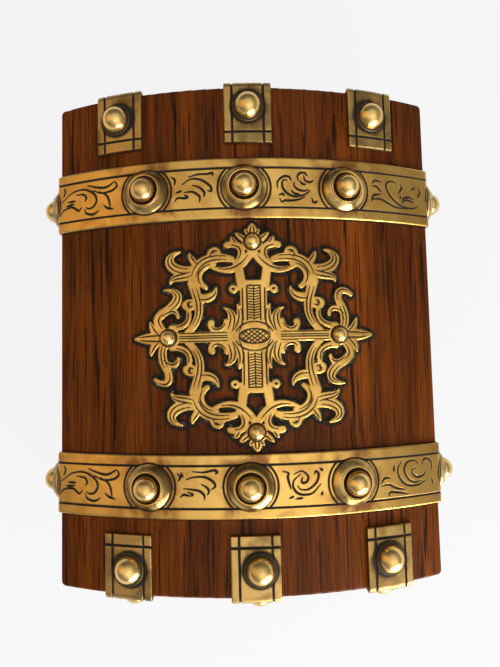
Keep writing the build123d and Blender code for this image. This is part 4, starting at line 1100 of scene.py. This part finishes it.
def lining(node, body, top=None):
    """A wall's lining; top(y) is the height of an arched one."""
    (x0, y0, z0), (x1, y1, z1) = box_mm(node)
    side = node.split("_")[-1]
    along_x = side in ("front", "back")
    low, high = (x0, x1) if along_x else (y0, y1)
    along, across = with_ends(low, high), with_ends(z0, z1)
    sign = 1 if side in ("front", "left") else -1
    foot = {"front": y0, "back": y1, "left": x0, "right": x1}[side]

    def place(u, v, h):
        z = v if top is None else z0 + (v - z0) * (top(u) - z0) / (z1 - z0)
        return (u, foot + sign * h, z) if along_x else (foot + sign * h, u, z)

    ripple = 0.12 * np.sin(along[:, None] / 17.0) * np.sin(across[None, :] / 11.0 + 1.0)
    height = 1.45 + ripple - rounded(edge_distance(along, across), 1.2)
    return soft_piece(f"velvet_{node}", node, place, along, across, height, velvet, "velvet", body)


def with_ends(low, high, step=2.5, soft=1.2):
    """Places from low to high, closer together at both ends."""
    return (low + high) / 2 + with_soft_edges((high - low) / 2, step, soft)


pad_face = dome_radius - 6.0 - 0.3
for side in ("front", "back", "left", "right"):
    lining(f"case_lining_{side}", "case")
    arched = side in ("left", "right")
    lining(f"lid_lining_{side}", "lid",
           (lambda y: dome_axis + np.sqrt((pad_face - 8.3) ** 2 - y**2)) if arched else None)

# %% [markdown]
# The two pads are quilted silk, stitched in diamonds: each diamond puffs out and the stitching pulls a
# valley between them, with painted shade along each valley. The one on the floor is loose. It is crowned, its
# sides pull in between its corners as a sewn case does when it is stuffed, and it is flat only underneath. The
# other follows the dome.

# %% Quilting
def quilting(places, lengthways):
    """How far each place puffs out, how hard the crossings pinch, and the painted shade along the valleys."""
    one = lengthways[None, :] / 33.0 + places[:, None] / 25.0
    other = lengthways[None, :] / 33.0 - places[:, None] / 25.0
    seams = np.abs(np.sin(math.pi * one)), np.abs(np.sin(math.pi * other))
    pinch = np.exp(-(seams[0] ** 2 + seams[1] ** 2) / 0.05)
    return (seams[0] * seams[1]) ** 0.5, pinch, soft_step(np.minimum(*seams), 0.02, 0.2)


# %% The pad on the floor
(pad_x0, pad_y0, pad_z0), (pad_x1, pad_y1, pad_z1) = box_mm("base_pad")


def pad_place(u, v, h):
    pull_x = 1.0 - 0.012 * (1.0 - (u / pad_y1) ** 2) * (v / pad_x1) ** 2
    pull_y = 1.0 - 0.016 * (1.0 - (v / pad_x1) ** 2) * (u / pad_y1) ** 2
    return v * pull_x, u * pull_y, pad_z0 + h


deep, wide = with_ends(pad_y0, pad_y1, 1.5, 5.0), with_ends(pad_x0, pad_x1, 1.5, 5.0)
crown = (1.0 - (deep[:, None] / pad_y1) ** 4) * (1.0 - (wide[None, :] / pad_x1) ** 4)
puff, pinch, stitch = quilting(deep, wide)
height = 5.8 + 2.9 * crown**0.6 - rounded(edge_distance(deep, wide), 4.6)
height = height - crown * (2.4 * (1.0 - puff) + 0.8 * pinch)
soft_piece("quilted_base_pad", "base_pad", pad_place, deep, wide, height,
           quilted_silk, "quilted_silk", "case",
           stitch)

# %% The pad under the dome
(quilt_x0, quilt_y0, _), (quilt_x1, quilt_y1, _) = box_mm("lid_pad")
quilt_turn = math.asin(quilt_y1 / pad_face) * pad_face
round_arch = with_ends(-quilt_turn, quilt_turn, 1.1, 5.0)
lengthways = with_ends(quilt_x0, quilt_x1, 1.1, 5.0)
puff, pinch, stitch = quilting(round_arch, lengthways)
height = 2.9 + 4.8 * puff - 1.3 * pinch
height = np.minimum(height, 7.8 - rounded(edge_distance(round_arch, lengthways), 5.0) * 1.15)


def under_dome(u, v, h):
    turn = u / pad_face
    return v, (pad_face - h) * np.sin(turn), dome_axis + (pad_face - h) * np.cos(turn)


soft_piece("quilted_lid_pad", "lid_pad", under_dome, round_arch, lengthways, height,
           quilted_silk, "quilted_silk",
           "lid", stitch)

# %% [markdown]
# Baize is glued under the case. It is one flat cut of felt with a softly rounded edge.

# %% The baize
(felt_x0, felt_y0, _), (felt_x1, felt_y1, felt_top) = box_mm("base_baize")
along, across = with_ends(felt_x0, felt_x1, 3.0, 0.4), with_ends(felt_y0, felt_y1, 3.0, 0.4)
height = felt_top - 0.02 - rounded(edge_distance(along, across), 0.4)
points, faces, _ = bent_sheet(lambda u, v, h: (u, v, felt_top - h), along, across, height)
felt = make_piece("baize_sheet", points, faces, baize, "baize", "case", ("base_baize",))

# %% [markdown]
# ## Finishes for the pieces that CAD has right
# The wooden walls, the hinges and the lock keep their CAD shapes. They only need their materials, with the
# grain along each board.

# %% Give each CAD piece its finish
finish_of = {
    rosewood_x: ("lid_panel", "lid_front_rail", "lid_back_rail", "case_front", "case_back"),
    rosewood_y: ("lid_left_end", "lid_right_end", "case_left_end", "case_right_end"),
    mahogany: ("case_floor",),
    steel: ("lock_bolt", "lock_spring", "hinge_pin_left", "hinge_pin_right", "hinge_screws_case",
            "hinge_screws_lid", "lock_screws", "link_plate_screws"),
    plain_brass: ("hinge_leaf_case_left", "hinge_leaf_case_right",
                  "hinge_leaf_lid_left", "hinge_leaf_lid_right",
                  "lock_plate", "lock_cap", "lock_link_plate", "keyhole_escutcheon", "escutcheon_pins"),
}
for finish, names in finish_of.items():
    for name in names:
        node = nodes[name]
        node.data.materials.clear()
        node.data.materials.append(finish)
print(sum(len(names) for names in finish_of.values()), "CAD pieces have their finish")

# %% [markdown]
# ## Floor, light and camera
# The casket stands on a plain pale floor in a dim room. One window-like light stands
# low towards the left end, and the room itself glows warm at the back, so that each ball head shows a bright
# spot and a warm glow.

# %% The floor
def floor_finish():
    r = Recipe("pale_floor")
    paint = r.add("ShaderNodeBsdfDiffuse", None, {"Color": (0.78, 0.775, 0.77, 1.0)})
    white = r.add("ShaderNodeEmission", None, {"Color": (0.94, 0.937, 0.955, 1.0), "Strength": 1.0})
    path = [r.add("ShaderNodeLightPath", output=name)
            for name in ("Is Camera Ray", "Is Glossy Ray", "Is Transmission Ray")]
    seen = path[0] + path[1] + path[2]
    return r.end_with(r.add("ShaderNodeMixShader", None, {0: seen.between(0.0, 1.0) * 0.9, 1: paint, 2: white}))


bpy.ops.mesh.primitive_plane_add(size=12.0, location=(0, 0, 0))
floor = bpy.context.object
floor.name = "floor"
floor.data.materials.append(floor_finish())

# %% The lights
def room_light():
    """A pale band at the horizon, dim above it, bright overhead and towards the window, warm at the back."""
    r = Recipe("room", "worlds")
    look = r.add("ShaderNodeTexCoord", output="Generated")
    height = r.add("ShaderNodeSeparateXYZ", None, {0: look}, output=2)

    def towards(direction):
        return r.add("ShaderNodeVectorMath", {"operation": "DOT_PRODUCT"}, {0: look, 1: direction}, output=1)

    level = 0.12 + (1.0 - height.between(0.0, 0.34)) * 0.75 + height.between(0.15, 0.75) * 0.36
    level = level * (0.5 + towards((-0.7, -0.7, 0.1)).between(-0.7, 0.6) * 0.7)
    level = level + height.between(0.65, 1.0) * 0.64 + towards((-0.44, -0.32, 0.84)).between(0.8, 1.0) * 0.56
    glow = towards((0.12, 0.8, 0.58)).between(0.83, 1.0)
    tone = r.blend(glow, (1.0, 0.95, 0.87), (1.0, 0.62, 0.28))
    sky = r.add("ShaderNodeBackground", None, {"Color": tone, "Strength": level + glow * 0.85})
    return r.end_with(sky, "ShaderNodeOutputWorld")


bpy.context.scene.world = room_light()


def softbox(name, place, aim, size, power, tint=(1.0, 1.0, 1.0)):
    light = bpy.data.lights.new(name, "AREA")
    light.shape = "RECTANGLE"
    light.size, light.size_y = size
    light.energy = power
    light.color = tint
    lamp = bpy.data.objects.new(name, light)
    bpy.context.collection.objects.link(lamp)
    place, aim = np.asarray(place, float), np.asarray(aim, float)
    back = (place - aim) / np.linalg.norm(place - aim)
    east = np.cross((0.0, 0.0, 1.0), back) if abs(back[2]) < 0.99 else np.array([1.0, 0.0, 0.0])
    east = east / np.linalg.norm(east)
    north = np.cross(back, east)
    lamp.matrix_world = Matrix([[east[i], north[i], back[i], place[i]] for i in range(3)] + [[0, 0, 0, 1]])
    lamp.visible_camera = False
    return lamp


centre = (0.0, 0.0, 0.1)
softbox("window", (-0.68, -0.36, 0.24), centre, (0.66, 0.46), 11.0, (1.0, 0.98, 0.94))

# %% [markdown]
# The view is from straight above with a wide lens, close enough for the four rims to lean away.

# %% The camera
lens = bpy.data.cameras.new("camera")
lens.lens, lens.sensor_width = 29.15, 36.0
lens.clip_start = 0.01
camera = bpy.data.objects.new("camera", lens)
bpy.context.collection.objects.link(camera)
right, up, ahead = (-0.0236, -1.0, 0.0144), (1.0, -0.0236, 0.0696), (0.0696, -0.0144, -1.0)
right = np.asarray(right) / np.linalg.norm(right)
ahead = np.asarray(ahead) / np.linalg.norm(ahead)
up = np.cross(right, ahead)
eye_place = (-0.0155, 0.0024, crest * mm + 0.2313)
camera.matrix_world = Matrix([[right[i], up[i], -ahead[i], eye_place[i]] for i in range(3)] + [[0, 0, 0, 1]])
bpy.context.scene.camera = camera
bpy.context.scene.view_settings.view_transform = "Standard"
